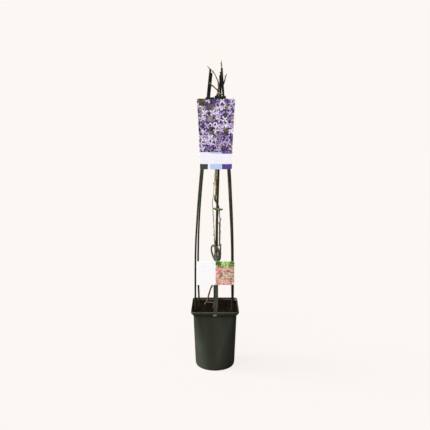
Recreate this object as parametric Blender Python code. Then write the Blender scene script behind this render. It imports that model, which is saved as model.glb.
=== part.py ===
# A bare young climbing plant on a wigwam of green canes in a square-topped nursery pot.
# Metres, +Z up, the front towards -Y, the origin at the centre of the pot's foot.
import bisect
import math
import random

import bmesh
import bpy
from mathutils import Matrix, Vector

# Clearance kept between touching pieces, and the larger one round bent stems
GAP = 0.0003
STEM_GAP = 0.0009

# Pot: square at the rim, round at the base
POT_HEIGHT = 0.184
RIM_HALF = 0.070
RIM_CORNER = 0.011
LIP_EDGE = 0.0055
LIP_SLOPE = 0.0110
NECK_HALF = 0.0632
NECK_CORNER = 0.015
BASE_RADIUS = 0.0594
FOOT_STEP = 0.0045
FOOT_RADIUS = 0.0580
FOOT_WIDTH = 0.0050
WALL = 0.0014
FLOOR_THICKNESS = 0.0020
CORNER_STEPS = 8
SIDE_RINGS = 4
LEAST_FLAT = 0.0002
FOOT_ROUND = 0.0006
FOOT_TUCK = 0.0008
RIM_ROUND = 0.0004
DRAIN_RADIUS = 0.0045
DRAIN_CIRCLE = 0.034
DRAIN_COUNT = 6
PAD_SIZE = (0.0066, 0.0018, 0.0040)
PAD_OUT = 0.0007
PAD_SEGMENTS = 16

# Soil
SOIL_LEVEL = 0.1775
SOIL_RINGS = 9
SOIL_BUMPS = 46
SOIL_BUMP_RISE = (-0.0022, 0.0026)
SOIL_BUMP_WIDTH = (0.005, 0.012)
SOIL_EDGE_INSET = 0.0012
SOIL_EDGE_DROP = 0.0010
SOIL_SEED = 7
BORE_ABOVE_SOIL = 0.050

# Canes: radius at the foot and at the tip, the heights of the nodes, and axis points from foot to tip
CANE_RADIUS = (0.0027, 0.0030)
CENTRE_CANE_RADIUS = (0.0044, 0.0032)
CANE_SIDES_RESOLUTION = 2
CANE_STEP = 0.040
NODE_RISE = 0.00035
NODE_HALF_LENGTH = 0.0022
CANES = {
    "cane_left_front": (
        CANE_RADIUS,
        (0.105, 0.270, 0.452, 0.655, 0.838),
        (
            (-0.0545, -0.0300, 0.080),
            (-0.0577, -0.0300, 0.180),
            (-0.0577, -0.0300, 0.270),
            (-0.0567, -0.0270, 0.358),
            (-0.0539, -0.0239, 0.417),
            (-0.0478, -0.0194, 0.505),
            (-0.0404, -0.0150, 0.590),
            (-0.0302, -0.0090, 0.702),
            (-0.0213, -0.0040, 0.797),
            (-0.0130, -0.0035, 0.8743),
        ),
    ),
    "cane_left_back": (
        CANE_RADIUS,
        (0.120, 0.236, 0.420, 0.611, 0.826),
        (
            (-0.0468, 0.0420, 0.080),
            (-0.0499, 0.0450, 0.187),
            (-0.0521, 0.0445, 0.260),
            (-0.0516, 0.0414, 0.344),
            (-0.0481, 0.0337, 0.438),
            (-0.0413, 0.0262, 0.530),
            (-0.0348, 0.0205, 0.600),
            (-0.0258, 0.0123, 0.702),
            (-0.0166, 0.0042, 0.797),
            (-0.0098, 0.0040, 0.8646),
        ),
    ),
    "cane_centre": (
        CENTRE_CANE_RADIUS,
        (0.110, 0.292, 0.402, 0.560, 0.722, 0.836),
        (
            (0.0055, 0.0150, 0.060),
            (0.0055, 0.0150, 0.190),
            (0.0054, 0.0146, 0.310),
            (0.0053, 0.0118, 0.410),
            (0.0068, 0.0097, 0.480),
            (0.0098, 0.0065, 0.584),
            (0.0123, 0.0028, 0.705),
            (0.0152, 0.0000, 0.797),
            (0.0150, 0.0000, 0.8580),
        ),
    ),
    "cane_right_front": (
        CANE_RADIUS,
        (0.130, 0.310, 0.478, 0.622, 0.848),
        (
            (0.0486, -0.0300, 0.080),
            (0.0507, -0.0300, 0.185),
            (0.0499, -0.0300, 0.270),
            (0.0492, -0.0270, 0.358),
            (0.0471, -0.0241, 0.420),
            (0.0427, -0.0198, 0.505),
            (0.0378, -0.0155, 0.590),
            (0.0307, -0.0100, 0.702),
            (0.0243, -0.0050, 0.797),
            (0.0188, -0.0050, 0.8769),
        ),
    ),
    "cane_right_back": (
        CANE_RADIUS,
        (0.118, 0.262, 0.440, 0.640, 0.842),
        (
            (0.0490, 0.0390, 0.080),
            (0.0556, 0.0420, 0.185),
            (0.0556, 0.0420, 0.270),
            (0.0543, 0.0375, 0.360),
            (0.0521, 0.0324, 0.430),
            (0.0487, 0.0272, 0.503),
            (0.0436, 0.0210, 0.588),
            (0.0332, 0.0125, 0.702),
            (0.0247, 0.0064, 0.797),
            (0.0163, 0.0085, 0.8688),
        ),
    ),
}

# Clip bars: ends along X, level, height, the radius of the end knobs, and the canes in it
CLIPS = {
    "clip_left": (
        (-0.0271, -0.0024),
        0.7934,
        0.0046,
        0.0032,
        ("cane_left_front", "cane_left_back"),
    ),
    "clip_right": (
        (-0.0018, 0.0311),
        0.7962,
        0.0060,
        0.0041,
        ("cane_centre", "cane_right_front", "cane_right_back"),
    ),
}
CLIP_FRONT = -0.0124
CLIP_BACK = 0.0110
CLIP_BEVEL = 0.0006
CLIP_BORE_REACH = 0.020
CARD_SLOT_LENGTH = 0.100

# Display card: leans on the front canes, its upper edge in the slots of the clip bars
CARD_THICKNESS = 0.0008
DISPLAY_CENTRE_X = 0.0028
DISPLAY_TOP = 0.7924
DISPLAY_BOTTOM = 0.5932
DISPLAY_TOP_Y = -0.0098
DISPLAY_BOTTOM_Y = -0.0191
DISPLAY_HALF_WIDTHS = (0.0457, 0.0488, 0.0548)
DISPLAY_CORNER = 0.0045
SIDE_STEPS = 8

# Small card and its stake
LABEL_LEFT = -0.0518
LABEL_RIGHT = 0.0555
LABEL_TOP = 0.3315
LABEL_BOTTOM = 0.2619
LABEL_Y = -0.0562
LABEL_CORNER = 0.0015
STAKE_X = 0.0018
STAKE_WIDTH = 0.0124
STAKE_THICKNESS = 0.0014
STAKE_RIB = 0.0016
STAKE_RIB_RISE = 0.0009
STAKE_TOP = 0.3240
STAKE_POINT = 0.105
STAKE_SHOULDER = 0.125
STAKE_CHANNEL_START = 0.004
STAKE_CHANNEL_PAST_TOP = 0.010

# Plant: each strand is a list of (x, y, z, radius), from its root to its tip
STRAND_STEP = 0.009
TWIST_STEP = 0.0045
TRUNK = (
    (-0.0250, 0.0220, 0.1350, 0.0030),
    (-0.0264, 0.0215, 0.1760, 0.0034),
    (-0.0236, 0.0205, 0.1900, 0.0028),
    (-0.0199, 0.0190, 0.2055, 0.0024),
    (-0.0137, 0.0150, 0.2280, 0.0023),
    (-0.0075, 0.0100, 0.2430, 0.0024),
    (-0.0010, 0.0050, 0.2620, 0.0028),
    (0.0045, 0.0020, 0.2850, 0.0034),
    (0.0090, 0.0025, 0.3030, 0.0044),
    (0.0100, 0.0040, 0.3190, 0.0052),
    (0.0098, 0.0040, 0.3300, 0.0042),
)
ROOT_SHORT = (
    (-0.0258, 0.0208, 0.1850, 0.0030),
    (-0.0296, 0.0190, 0.1808, 0.0028),
    (-0.0350, 0.0175, 0.1700, 0.0018),
)
ROOT_STUB = (
    (-0.0240, 0.0210, 0.1880, 0.0023),
    (-0.0190, 0.0222, 0.1895, 0.0022),
    (-0.0126, 0.0232, 0.1906, 0.0017),
)
ROOT_ARCHED = (
    (-0.0245, 0.0195, 0.1855, 0.0020),
    (-0.0160, 0.0145, 0.1862, 0.0017),
    (-0.0072, 0.0080, 0.1880, 0.0016),
    (-0.0038, 0.0005, 0.1862, 0.0015),
    (-0.0060, -0.0060, 0.1780, 0.0014),
    (-0.0068, -0.0085, 0.1680, 0.0012),
)
TWIST_LEFT = (
    (0.0090, 0.0040, 0.3160, 0.0036),
    (0.0040, 0.0060, 0.3230, 0.0039),
    (0.0012, 0.0062, 0.3340, 0.0039),
    (0.0010, 0.0060, 0.3480, 0.0036),
    (0.0004, 0.0070, 0.3600, 0.0029),
    (-0.0006, 0.0085, 0.3740, 0.0023),
    (-0.0022, 0.0085, 0.3900, 0.0021),
    (-0.0030, 0.0080, 0.4072, 0.0020),
    (-0.0043, 0.0075, 0.4300, 0.0018),
    (-0.0054, 0.0070, 0.4540, 0.0017),
    (-0.0068, 0.0060, 0.4760, 0.0016),
    (-0.0080, 0.0055, 0.4900, 0.0015),
    (-0.0073, 0.0055, 0.5030, 0.0015),
    (-0.0050, 0.0055, 0.5170, 0.0016),
    (-0.0038, 0.0055, 0.5400, 0.0016),
    (-0.0010, 0.0045, 0.5670, 0.0016),
    (0.0016, 0.0020, 0.6000, 0.0015),
    (0.0045, -0.0050, 0.6450, 0.0013),
    (0.0125, -0.0070, 0.6800, 0.0013),
    (0.0205, 0.0030, 0.7150, 0.0013),
    (0.0170, 0.0120, 0.7550, 0.0013),
    (0.0145, 0.0140, 0.7950, 0.0013),
    (0.0146, 0.0110, 0.8150, 0.0013),
    (0.0185, 0.0128, 0.8400, 0.0013),
    (0.0192, 0.0128, 0.8600, 0.0014),
    (0.0186, 0.0098, 0.8800, 0.0017),
    (0.0179, 0.0062, 0.8920, 0.0018),
    (0.0173, 0.0055, 0.9010, 0.0011),
)
TWIST_MIDDLE = (
    (0.0096, 0.0040, 0.3160, 0.0046),
    (0.0100, 0.0042, 0.3300, 0.0050),
    (0.0096, 0.0044, 0.3440, 0.0046),
    (0.0085, 0.0040, 0.3540, 0.0034),
    (0.0076, 0.0038, 0.3600, 0.0020),
)
TWIST_RIGHT = (
    (0.0100, 0.0045, 0.3170, 0.0038),
    (0.0144, 0.0074, 0.3270, 0.0036),
    (0.0155, 0.0090, 0.3400, 0.0033),
    (0.0158, 0.0094, 0.3530, 0.0029),
    (0.0164, 0.0092, 0.3620, 0.0024),
    (0.0138, 0.0080, 0.3740, 0.0021),
    (0.0141, 0.0080, 0.3950, 0.0023),
    (0.0141, 0.0068, 0.4190, 0.0022),
    (0.0147, 0.0060, 0.4330, 0.0020),
    (0.0150, 0.0052, 0.4450, 0.0017),
    (0.0128, 0.0066, 0.4580, 0.0015),
    (0.0122, 0.0096, 0.4670, 0.0017),
    (0.0118, 0.0128, 0.4750, 0.0018),
    (0.0100, 0.0165, 0.4840, 0.0018),
    (0.0035, 0.0150, 0.4940, 0.0020),
    (0.0012, 0.0095, 0.5050, 0.0028),
    (0.0030, 0.0052, 0.5200, 0.0026),
    (0.0031, 0.0026, 0.5500, 0.0026),
    (0.0028, 0.0010, 0.5750, 0.0025),
    (0.0050, -0.0020, 0.6100, 0.0023),
    (0.0120, -0.0065, 0.6550, 0.0021),
    (0.0200, 0.0010, 0.6900, 0.0020),
    (0.0160, 0.0110, 0.7250, 0.0020),
    (0.0090, 0.0138, 0.7600, 0.0020),
    (0.0078, 0.0146, 0.7970, 0.0024),
    (0.0090, 0.0108, 0.8150, 0.0025),
    (0.0104, 0.0085, 0.8290, 0.0022),
    (0.0082, 0.0076, 0.8430, 0.0017),
    (0.0041, 0.0080, 0.8520, 0.0015),
    (-0.0013, 0.0095, 0.8635, 0.0015),
    (-0.0111, 0.0115, 0.8742, 0.0014),
    (-0.0184, 0.0120, 0.8812, 0.0014),
    (-0.0226, 0.0120, 0.8868, 0.0011),
)
SIDE_LOOP = (
    (0.0060, 0.0050, 0.3170, 0.0024),
    (0.0000, 0.0040, 0.3214, 0.0030),
    (-0.0045, 0.0035, 0.3306, 0.0029),
    (-0.0078, 0.0032, 0.3397, 0.0026),
    (-0.0102, 0.0030, 0.3485, 0.0025),
    (-0.0108, 0.0030, 0.3572, 0.0025),
    (-0.0090, 0.0030, 0.3638, 0.0026),
    (-0.0060, 0.0028, 0.3662, 0.0028),
    (-0.0028, 0.0022, 0.3644, 0.0028),
    (0.0020, 0.0010, 0.3610, 0.0026),
    (0.0062, 0.0000, 0.3564, 0.0027),
    (0.0105, 0.0004, 0.3500, 0.0028),
    (0.0142, 0.0040, 0.3420, 0.0025),
    (0.0150, 0.0072, 0.3370, 0.0020),
)
CROSS_TWIG = (
    (0.0012, 0.0060, 0.3540, 0.0020),
    (0.0040, 0.0040, 0.3585, 0.0018),
    (0.0080, 0.0040, 0.3625, 0.0016),
    (0.0118, 0.0055, 0.3665, 0.0015),
    (0.0138, 0.0080, 0.3730, 0.0014),
)
SHORT_SPUR = (
    (0.0137, 0.0075, 0.4150, 0.0014),
    (0.0130, 0.0060, 0.4270, 0.0013),
    (0.0102, 0.0040, 0.4370, 0.0011),
)
LEFT_TWIG = (
    (0.0082, 0.0098, 0.8165, 0.0018),
    (0.0030, 0.0030, 0.8205, 0.0016),
    (-0.0042, -0.0060, 0.8258, 0.0015),
    (-0.0110, -0.0090, 0.8305, 0.0015),
    (-0.0145, -0.0092, 0.8345, 0.0011),
)
RIGHT_TWIG = (
    (0.0168, 0.0120, 0.8280, 0.0012),
    (0.0222, 0.0125, 0.8330, 0.0018),
    (0.0248, 0.0095, 0.8385, 0.0019),
    (0.0272, 0.0080, 0.8440, 0.0016),
    (0.0300, 0.0070, 0.8530, 0.0013),
    (0.0334, 0.0070, 0.8630, 0.0011),
)

# Buds: the strand and the height that each grows from, the way it points, length and radius
BUDS = (
    ("twist_left", 0.3930, (-0.50, -0.10, 1.0), 0.0080, 0.0018),
    ("twist_left", 0.5120, (0.65, -0.30, 1.0), 0.0075, 0.0017),
    ("twist_left", 0.5480, (-0.60, -0.20, 1.0), 0.0065, 0.0015),
    ("twist_left", 0.8880, (-0.55, -0.20, 1.0), 0.0065, 0.0015),
    ("twist_right", 0.3640, (0.60, -0.20, 1.0), 0.0075, 0.0017),
    ("twist_right", 0.4040, (0.65, -0.20, 1.0), 0.0065, 0.0015),
    ("twist_right", 0.4420, (0.60, -0.30, 1.0), 0.0080, 0.0019),
    ("twist_right", 0.5030, (-0.70, -0.30, 1.0), 0.0080, 0.0019),
    ("twist_right", 0.8150, (-0.50, -0.20, 1.0), 0.0080, 0.0019),
    ("twist_right", 0.8690, (0.30, -0.30, 1.0), 0.0050, 0.0013),
    ("left_twig", 0.8330, (-0.35, -0.10, 1.0), 0.0055, 0.0015),
    ("right_twig", 0.8360, (0.75, -0.20, 1.0), 0.0070, 0.0018),
    ("right_twig", 0.8530, (-0.60, -0.10, 1.0), 0.0060, 0.0013),
)
BUD_SIDES = 6
BUD_RINGS = 5
BUD_STAND = 0.45

# Ties: level, slope along X, cord radius, the strands held to the centre cane, the knot's place
# in points round the loop, the knot's half sizes, and its loose tails as offsets from the knot
TIES = {
    "tie_middle": (
        0.4752,
        -0.12,
        0.0029,
        ("twist_right",),
        21,
        (0.0050, 0.0034, 0.0050),
        (
            (
                (0.0, -0.0010, 0.0),
                (-0.0045, -0.0024, 0.0018),
                (-0.0085, -0.0020, 0.0030),
                (-0.0118, -0.0012, 0.0034),
            ),
            (
                (0.0, -0.0010, 0.0),
                (0.0048, -0.0020, 0.0004),
                (0.0104, -0.0018, -0.0004),
                (0.0160, -0.0008, 0.0004),
            ),
        ),
    ),
    "tie_top": (
        0.8046,
        0.0,
        0.0015,
        ("twist_left", "twist_right"),
        19,
        (0.0045, 0.0024, 0.0034),
        (
            (
                (0.0, -0.0010, 0.0),
                (-0.0035, -0.0016, 0.0014),
                (-0.0065, -0.0014, 0.0012),
                (-0.0088, -0.0008, 0.0),
            ),
            (
                (0.0, -0.0010, 0.0),
                (0.0028, -0.0014, 0.0010),
                (0.0050, -0.0012, -0.0004),
            ),
        ),
    ),
}
TIE_GAP = 0.0004
TIE_BAND = 0.0060
TIE_POINTS = 28
TAIL_STEP = 0.004
TAIL_SHARE = 0.9
FINE_STEP = 0.005
ARC_STEPS = 4


def clear_scene():
    for item in list(bpy.data.objects):
        bpy.data.objects.remove(item)


def finish(name, colour, roughness):
    """A Principled material for one sub-part."""
    material = bpy.data.materials.new(name)
    material.use_nodes = True
    shader = material.node_tree.nodes["Principled BSDF"]
    shader.inputs["Base Color"].default_value = (*colour, 1.0)
    shader.inputs["Roughness"].default_value = roughness
    shader.inputs["Metallic"].default_value = 0.0
    return material


def put(name, mesh, material=None):
    item = bpy.data.objects.new(name, mesh)
    if material:
        mesh.materials.clear()
        mesh.materials.append(material)
    bpy.context.scene.collection.objects.link(item)
    return item


def put_bmesh(name, bm, material=None):
    bmesh.ops.recalc_face_normals(bm, faces=bm.faces)
    mesh = bpy.data.meshes.new(name)
    bm.to_mesh(mesh)
    bm.free()
    return put(name, mesh, material)


def smooth_shaded(item, angle=40):
    item.data.shade_smooth()
    item.data.set_sharp_from_angle(angle=math.radians(angle))


def evaluated_mesh(item):
    """A free mesh of the object with its modifiers, with the seams of curve caps welded."""
    bpy.context.view_layer.update()
    graph = bpy.context.evaluated_depsgraph_get()
    mesh = bpy.data.meshes.new_from_object(item.evaluated_get(graph))
    bm = bmesh.new()
    bm.from_mesh(mesh)
    bmesh.ops.remove_doubles(bm, verts=bm.verts, dist=1e-6)
    bmesh.ops.recalc_face_normals(bm, faces=bm.faces)
    bm.to_mesh(mesh)
    bm.free()
    return mesh


def solid_copy(item):
    """Turns a curve object into a mesh object of the same name."""
    name = item.name
    mesh = evaluated_mesh(item)
    bpy.data.objects.remove(item)
    return put(name, mesh)


def combine(base, others, operation, solver="EXACT"):
    """Joins or cuts others from base with one Boolean, applies it, and removes the others."""
    group = bpy.data.collections.new(base.name + "_tools")
    for other in others:
        bpy.context.scene.collection.objects.unlink(other)
        group.objects.link(other)
    bpy.context.scene.collection.children.link(group)
    boolean = base.modifiers.new("Boolean", "BOOLEAN")
    boolean.operation = operation
    boolean.solver = solver
    boolean.operand_type = "COLLECTION"
    boolean.collection = group
    mesh = evaluated_mesh(base)
    base.modifiers.clear()
    base.data = mesh
    for other in others:
        bpy.data.objects.remove(other)
    bpy.data.collections.remove(group)
    return base


def through(points, step):
    """Points about one step apart on a smooth curve through the given points, of any dimension."""
    given = [Vector(point) for point in points]
    ends = [2 * given[0] - given[1]] + given + [2 * given[-1] - given[-2]]
    path = []
    for before, start, end, after in zip(ends, ends[1:], ends[2:], ends[3:]):
        count = max(1, round((end - start).length / step))
        for index in range(count):
            t = index / count
            bend = (
                2 * start
                + (end - before) * t
                + (2 * before - 5 * start + 4 * end - after) * t**2
                + (3 * start - before - 3 * end + after) * t**3
            )
            path.append(bend / 2)
    path.append(given[-1])
    return path


def tube(name, path, closed=False, resolution=2):
    """A round solid along a path of (x, y, z, radius)."""
    curve = bpy.data.curves.new(name, "CURVE")
    curve.dimensions = "3D"
    curve.bevel_depth = 1.0
    curve.bevel_resolution = resolution
    curve.use_fill_caps = not closed
    spline = curve.splines.new("POLY")
    spline.points.add(len(path) - 1)
    spline.use_cyclic_u = closed
    for point, place in zip(spline.points, path):
        point.co = (place[0], place[1], place[2], 1.0)
        point.radius = place[3]
    item = bpy.data.objects.new(name, curve)
    bpy.context.scene.collection.objects.link(item)
    return item


def corner_square(half, corner):
    """A square outline with round corners, anticlockwise; nearly a circle where corner equals half."""
    corner = min(corner, half - LEAST_FLAT)
    outline = []
    for quarter in range(4):
        turn = math.pi / 2 * quarter
        centre = (half - corner) * math.sqrt(2)
        cx = centre * math.cos(turn + math.pi / 4)
        cy = centre * math.sin(turn + math.pi / 4)
        for step in range(CORNER_STEPS + 1):
            angle = turn + math.pi / 2 * step / CORNER_STEPS
            outline.append((cx + corner * math.cos(angle), cy + corner * math.sin(angle)))
    return outline


def ring(bm, outline, height):
    """A closed loop of points at one height, or at one height for each point."""
    heights = height if isinstance(height, list) else [height] * len(outline)
    return [bm.verts.new((x, y, z)) for (x, y), z in zip(outline, heights)]


def loft(bm, rings):
    """Skins the rings in order and closes both ends."""
    for lower, upper in zip(rings, rings[1:]):
        for index in range(len(lower)):
            after = (index + 1) % len(lower)
            bm.faces.new((lower[index], lower[after], upper[after], upper[index]))
    for end in (rings[0], rings[-1]):
        bm.faces.new(end)


def wall_at(z):
    """Half side and corner radius of the pot's outside at a height under the lip."""
    neck = POT_HEIGHT - LIP_EDGE - LIP_SLOPE
    t = min(max((z - FOOT_STEP) / (neck - FOOT_STEP), 0.0), 1.0)
    half = BASE_RADIUS + (NECK_HALF - BASE_RADIUS) * t
    corner = BASE_RADIUS + (NECK_CORNER - BASE_RADIUS) * t
    return half, corner


def inside_at(z, inset):
    """The pot's inner outline, taken in by inset."""
    neck = POT_HEIGHT - LIP_EDGE - LIP_SLOPE
    half, corner = wall_at(z)
    if z > neck:
        t = (z - neck) / LIP_SLOPE
        half += (RIM_HALF - NECK_HALF) * t
        corner += (RIM_CORNER - NECK_CORNER) * t
    return corner_square(half - WALL - inset, corner - WALL - inset)


def side_levels():
    """Heights of the rings inside the pot, from its floor to its neck."""
    floor = FOOT_STEP + FLOOR_THICKNESS
    neck = POT_HEIGHT - LIP_EDGE - LIP_SLOPE
    return [floor + (neck - floor) * index / SIDE_RINGS for index in range(SIDE_RINGS + 1)]


def make_pot():
    neck = POT_HEIGHT - LIP_EDGE - LIP_SLOPE
    lip = POT_HEIGHT - LIP_EDGE
    inner_foot = FOOT_RADIUS - FOOT_WIDTH
    outer_foot = FOOT_RADIUS - FOOT_ROUND
    lip_low = corner_square(RIM_HALF - RIM_ROUND, RIM_CORNER)
    lip_side = corner_square(RIM_HALF, RIM_CORNER)
    lip_top = corner_square(RIM_HALF - RIM_ROUND, RIM_CORNER - RIM_ROUND)
    bm = bmesh.new()
    rings = [
        ring(bm, corner_square(inner_foot, inner_foot), FOOT_STEP),
        ring(bm, corner_square(inner_foot, inner_foot), 0.0),
        ring(bm, corner_square(outer_foot, outer_foot), 0.0),
        ring(bm, corner_square(FOOT_RADIUS, FOOT_RADIUS), FOOT_ROUND),
        ring(bm, corner_square(FOOT_RADIUS, FOOT_RADIUS), FOOT_STEP - FOOT_TUCK),
        ring(bm, corner_square(*wall_at(0)), FOOT_STEP),
    ]
    for z in side_levels()[1:]:
        rings.append(ring(bm, corner_square(*wall_at(z)), z))
    rings.append(ring(bm, lip_low, lip - RIM_ROUND))
    rings.append(ring(bm, lip_side, lip + RIM_ROUND))
    rings.append(ring(bm, lip_side, POT_HEIGHT - RIM_ROUND))
    rings.append(ring(bm, lip_top, POT_HEIGHT))
    inner_rim = corner_square(RIM_HALF - WALL, RIM_CORNER - WALL)
    rings.append(ring(bm, inner_rim, POT_HEIGHT))
    rings.append(ring(bm, inside_at(lip, 0.0), lip))
    for z in reversed(side_levels()):
        rings.append(ring(bm, inside_at(z, 0.0), z))
    loft(bm, rings)
    pot = put_bmesh("pot", bm, finish("moulded_pot", (0.030, 0.033, 0.028), 0.45))
    add_oval_pad(pot)
    drill_floor(pot)
    smooth_shaded(pot, 30)
    return pot


def add_oval_pad(pot):
    """The small plain oval pad moulded under the lip, at the middle of the front."""
    bm = bmesh.new()
    bmesh.ops.create_uvsphere(bm, u_segments=PAD_SEGMENTS, v_segments=PAD_SEGMENTS // 2, radius=1.0)
    tilt = math.atan2(RIM_HALF - NECK_HALF, LIP_SLOPE)
    half = (RIM_HALF + NECK_HALF) / 2 + PAD_OUT
    middle = Vector((0, -half, POT_HEIGHT - LIP_EDGE - LIP_SLOPE / 2))
    bmesh.ops.scale(bm, vec=PAD_SIZE, verts=bm.verts)
    bmesh.ops.rotate(bm, matrix=Matrix.Rotation(tilt, 3, "X"), verts=bm.verts)
    bmesh.ops.translate(bm, vec=middle, verts=bm.verts)
    combine(pot, [put_bmesh("pad", bm)], "UNION")


def drill_floor(pot):
    """Drainage holes through the floor: one in the middle and a ring of them."""
    places = [(0.0, 0.0)]
    for index in range(DRAIN_COUNT):
        angle = 2 * math.pi * (index + 0.5) / DRAIN_COUNT
        places.append((DRAIN_CIRCLE * math.cos(angle), DRAIN_CIRCLE * math.sin(angle)))
    drills = []
    for x, y in places:
        bm = bmesh.new()
        bmesh.ops.create_cone(
            bm,
            segments=16,
            radius1=DRAIN_RADIUS,
            radius2=DRAIN_RADIUS,
            depth=4 * FLOOR_THICKNESS,
            cap_ends=True,
        )
        middle = (x, y, FOOT_STEP + FLOOR_THICKNESS / 2)
        bmesh.ops.translate(bm, vec=middle, verts=bm.verts)
        drills.append(put_bmesh("drill", bm))
    combine(pot, drills, "DIFFERENCE")


def axis_at(path, z):
    """The point of a rising path at one height."""
    heights = [place[2] for place in path]
    index = min(max(bisect.bisect(heights, z), 1), len(path) - 1)
    low = path[index - 1]
    high = path[index]
    share = min(max((z - low[2]) / (high[2] - low[2]), 0.0), 1.0)
    return low.lerp(high, share)


def cane_axis(name, step):
    """The cane's axis as points of (x, y, z, radius), with an even taper from foot to tip."""
    (foot, tip), _, points = CANES[name]
    low = points[0][2]
    high = points[-1][2]
    axis = []
    for x, y, z in through(points, step):
        share = (z - low) / (high - low)
        axis.append(Vector((x, y, z, foot + (tip - foot) * share)))
    return axis


def cane_path(name, grow=0.0):
    """The cane's axis with its radius at each point, thicker at the nodes of the cane."""
    path = [place + Vector((0, 0, 0, grow)) for place in cane_axis(name, CANE_STEP)]
    for level in CANES[name][1]:
        for offset in (-NODE_HALF_LENGTH, 0.0, NODE_HALF_LENGTH):
            place = axis_at(path, level + offset).copy()
            if not offset:
                place[3] += NODE_RISE
            path.append(place)
        path.sort(key=lambda place: place[2])
    return path


def make_canes():
    bamboo = finish("dyed_cane", (0.024, 0.032, 0.016), 0.32)
    for name in CANES:
        cane = tube(name, cane_path(name), resolution=CANE_SIDES_RESOLUTION)
        cane.data.materials.append(bamboo)


def held_off(path):
    """Moves the points of a strand outwards where they come too near a cane."""
    axes = [cane_axis(name, FINE_STEP) for name in CANES]
    cleared = []
    for place in path:
        for axis in axes:
            if not axis[0][2] < place[2] < axis[-1][2] + STEM_GAP:
                continue
            centre = axis_at(axis, place[2])
            away = Vector((place[0] - centre[0], place[1] - centre[1]))
            needed = centre[3] + place[3] + STEM_GAP
            if away.length < needed:
                away = away.normalized() * needed
                place = Vector((centre[0] + away[0], centre[1] + away[1], place[2], place[3]))
        cleared.append(place)
    return cleared


def plant_strands():
    """Every strand of the plant: its name, path, and the sides of its section."""
    twisted = (("trunk", TRUNK), ("twist_middle", TWIST_MIDDLE), ("side_loop", SIDE_LOOP))
    long_shoots = (("twist_left", TWIST_LEFT), ("twist_right", TWIST_RIGHT))
    thin = (
        ("root_short", ROOT_SHORT),
        ("root_stub", ROOT_STUB),
        ("root_arched", ROOT_ARCHED),
        ("cross_twig", CROSS_TWIG),
        ("short_spur", SHORT_SPUR),
        ("left_twig", LEFT_TWIG),
        ("right_twig", RIGHT_TWIG),
    )
    strands = {name: (held_off(through(points, TWIST_STEP)), 2) for name, points in twisted}
    for name, points in long_shoots:
        strands[name] = (held_off(through(points, STRAND_STEP)), 1)
    for name, points in thin:
        strands[name] = (held_off(through(points, TWIST_STEP)), 1)
    return strands


def bud(path, level, way, length, radius):
    """A small pointed bud, its foot sunk to the middle of the strand that bears it."""
    bm = bmesh.new()
    bmesh.ops.create_uvsphere(bm, u_segments=BUD_SIDES, v_segments=BUD_RINGS, radius=1.0)
    bmesh.ops.scale(bm, vec=(radius, radius, length / 2), verts=bm.verts)
    direction = Vector(way).normalized()
    turn = direction.to_track_quat("Z", "Y").to_matrix()
    bmesh.ops.rotate(bm, matrix=turn, verts=bm.verts)
    middle = axis_at(path, level).to_3d() + direction * length * BUD_STAND
    bmesh.ops.translate(bm, vec=middle, verts=bm.verts)
    return put_bmesh("bud", bm)


def make_plant():
    pieces = []
    strands = plant_strands()
    for name, (path, resolution) in strands.items():
        pieces.append(solid_copy(tube(name, path, resolution=resolution)))
    pieces += [bud(strands[name][0], *values) for name, *values in BUDS]
    plant = combine(pieces[0], pieces[1:], "UNION")
    plant.name = "wisteria"
    plant.data.materials.clear()
    plant.data.materials.append(finish("bark", (0.115, 0.080, 0.048), 0.70))
    smooth_shaded(plant, 50)
    return plant


def soil_height(x, y, bumps):
    """Lumpy top of the soil."""
    height = SOIL_LEVEL
    for bx, by, rise, width in bumps:
        spread = ((x - bx) ** 2 + (y - by) ** 2) / width**2
        height += rise * math.exp(-spread)
    return height


def make_soil():
    draw = random.Random(SOIL_SEED)
    reach = RIM_HALF - WALL
    bumps = []
    for _ in range(SOIL_BUMPS):
        x = draw.uniform(-reach, reach)
        y = draw.uniform(-reach, reach)
        bumps.append((x, y, draw.uniform(*SOIL_BUMP_RISE), draw.uniform(*SOIL_BUMP_WIDTH)))
    floor, *sides = side_levels()
    bm = bmesh.new()
    rings = [ring(bm, inside_at(floor, 2 * GAP), floor + GAP)]
    for z in sides:
        rings.append(ring(bm, inside_at(z, 2 * GAP), z))
    edge = inside_at(SOIL_LEVEL, SOIL_EDGE_INSET)
    rings.append(ring(bm, edge, SOIL_LEVEL - SOIL_EDGE_DROP))
    for index in range(SOIL_RINGS):
        share = 1 - (index + 0.5) / SOIL_RINGS
        outline = [(x * share, y * share) for x, y in edge]
        rings.append(ring(bm, outline, [soil_height(x, y, bumps) for x, y in outline]))
    loft(bm, rings)
    soil = put_bmesh("soil", bm, finish("peat_soil", (0.016, 0.011, 0.006), 0.95))
    bore_soil(soil)
    return soil


def bore_soil(soil):
    """Plain holes for the canes, the stake, the trunk and the roots."""
    cutters = []
    for name in CANES:
        path = buried(cane_path(name, GAP))
        path[0] = path[0] - Vector((0, 0, GAP, 0))
        cutters.append(solid_copy(tube("hole", path)))
    for name in ("trunk", "root_short", "root_arched"):
        path = [place + Vector((0, 0, 0, 2 * GAP)) for place in buried(plant_strands()[name][0])]
        end = 0 if name == "trunk" else -1
        path[end] = path[end] - Vector((0, 0, 2 * GAP, 0))
        cutters.append(solid_copy(tube("hole", path)))
    cutters.append(stake_solid("stake_hole", GAP))
    combine(soil, cutters, "DIFFERENCE")


def buried(path):
    """The stretch of a path from under the soil to a little above it."""
    return [place for place in path if place[2] < SOIL_LEVEL + BORE_ABOVE_SOIL]


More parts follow.
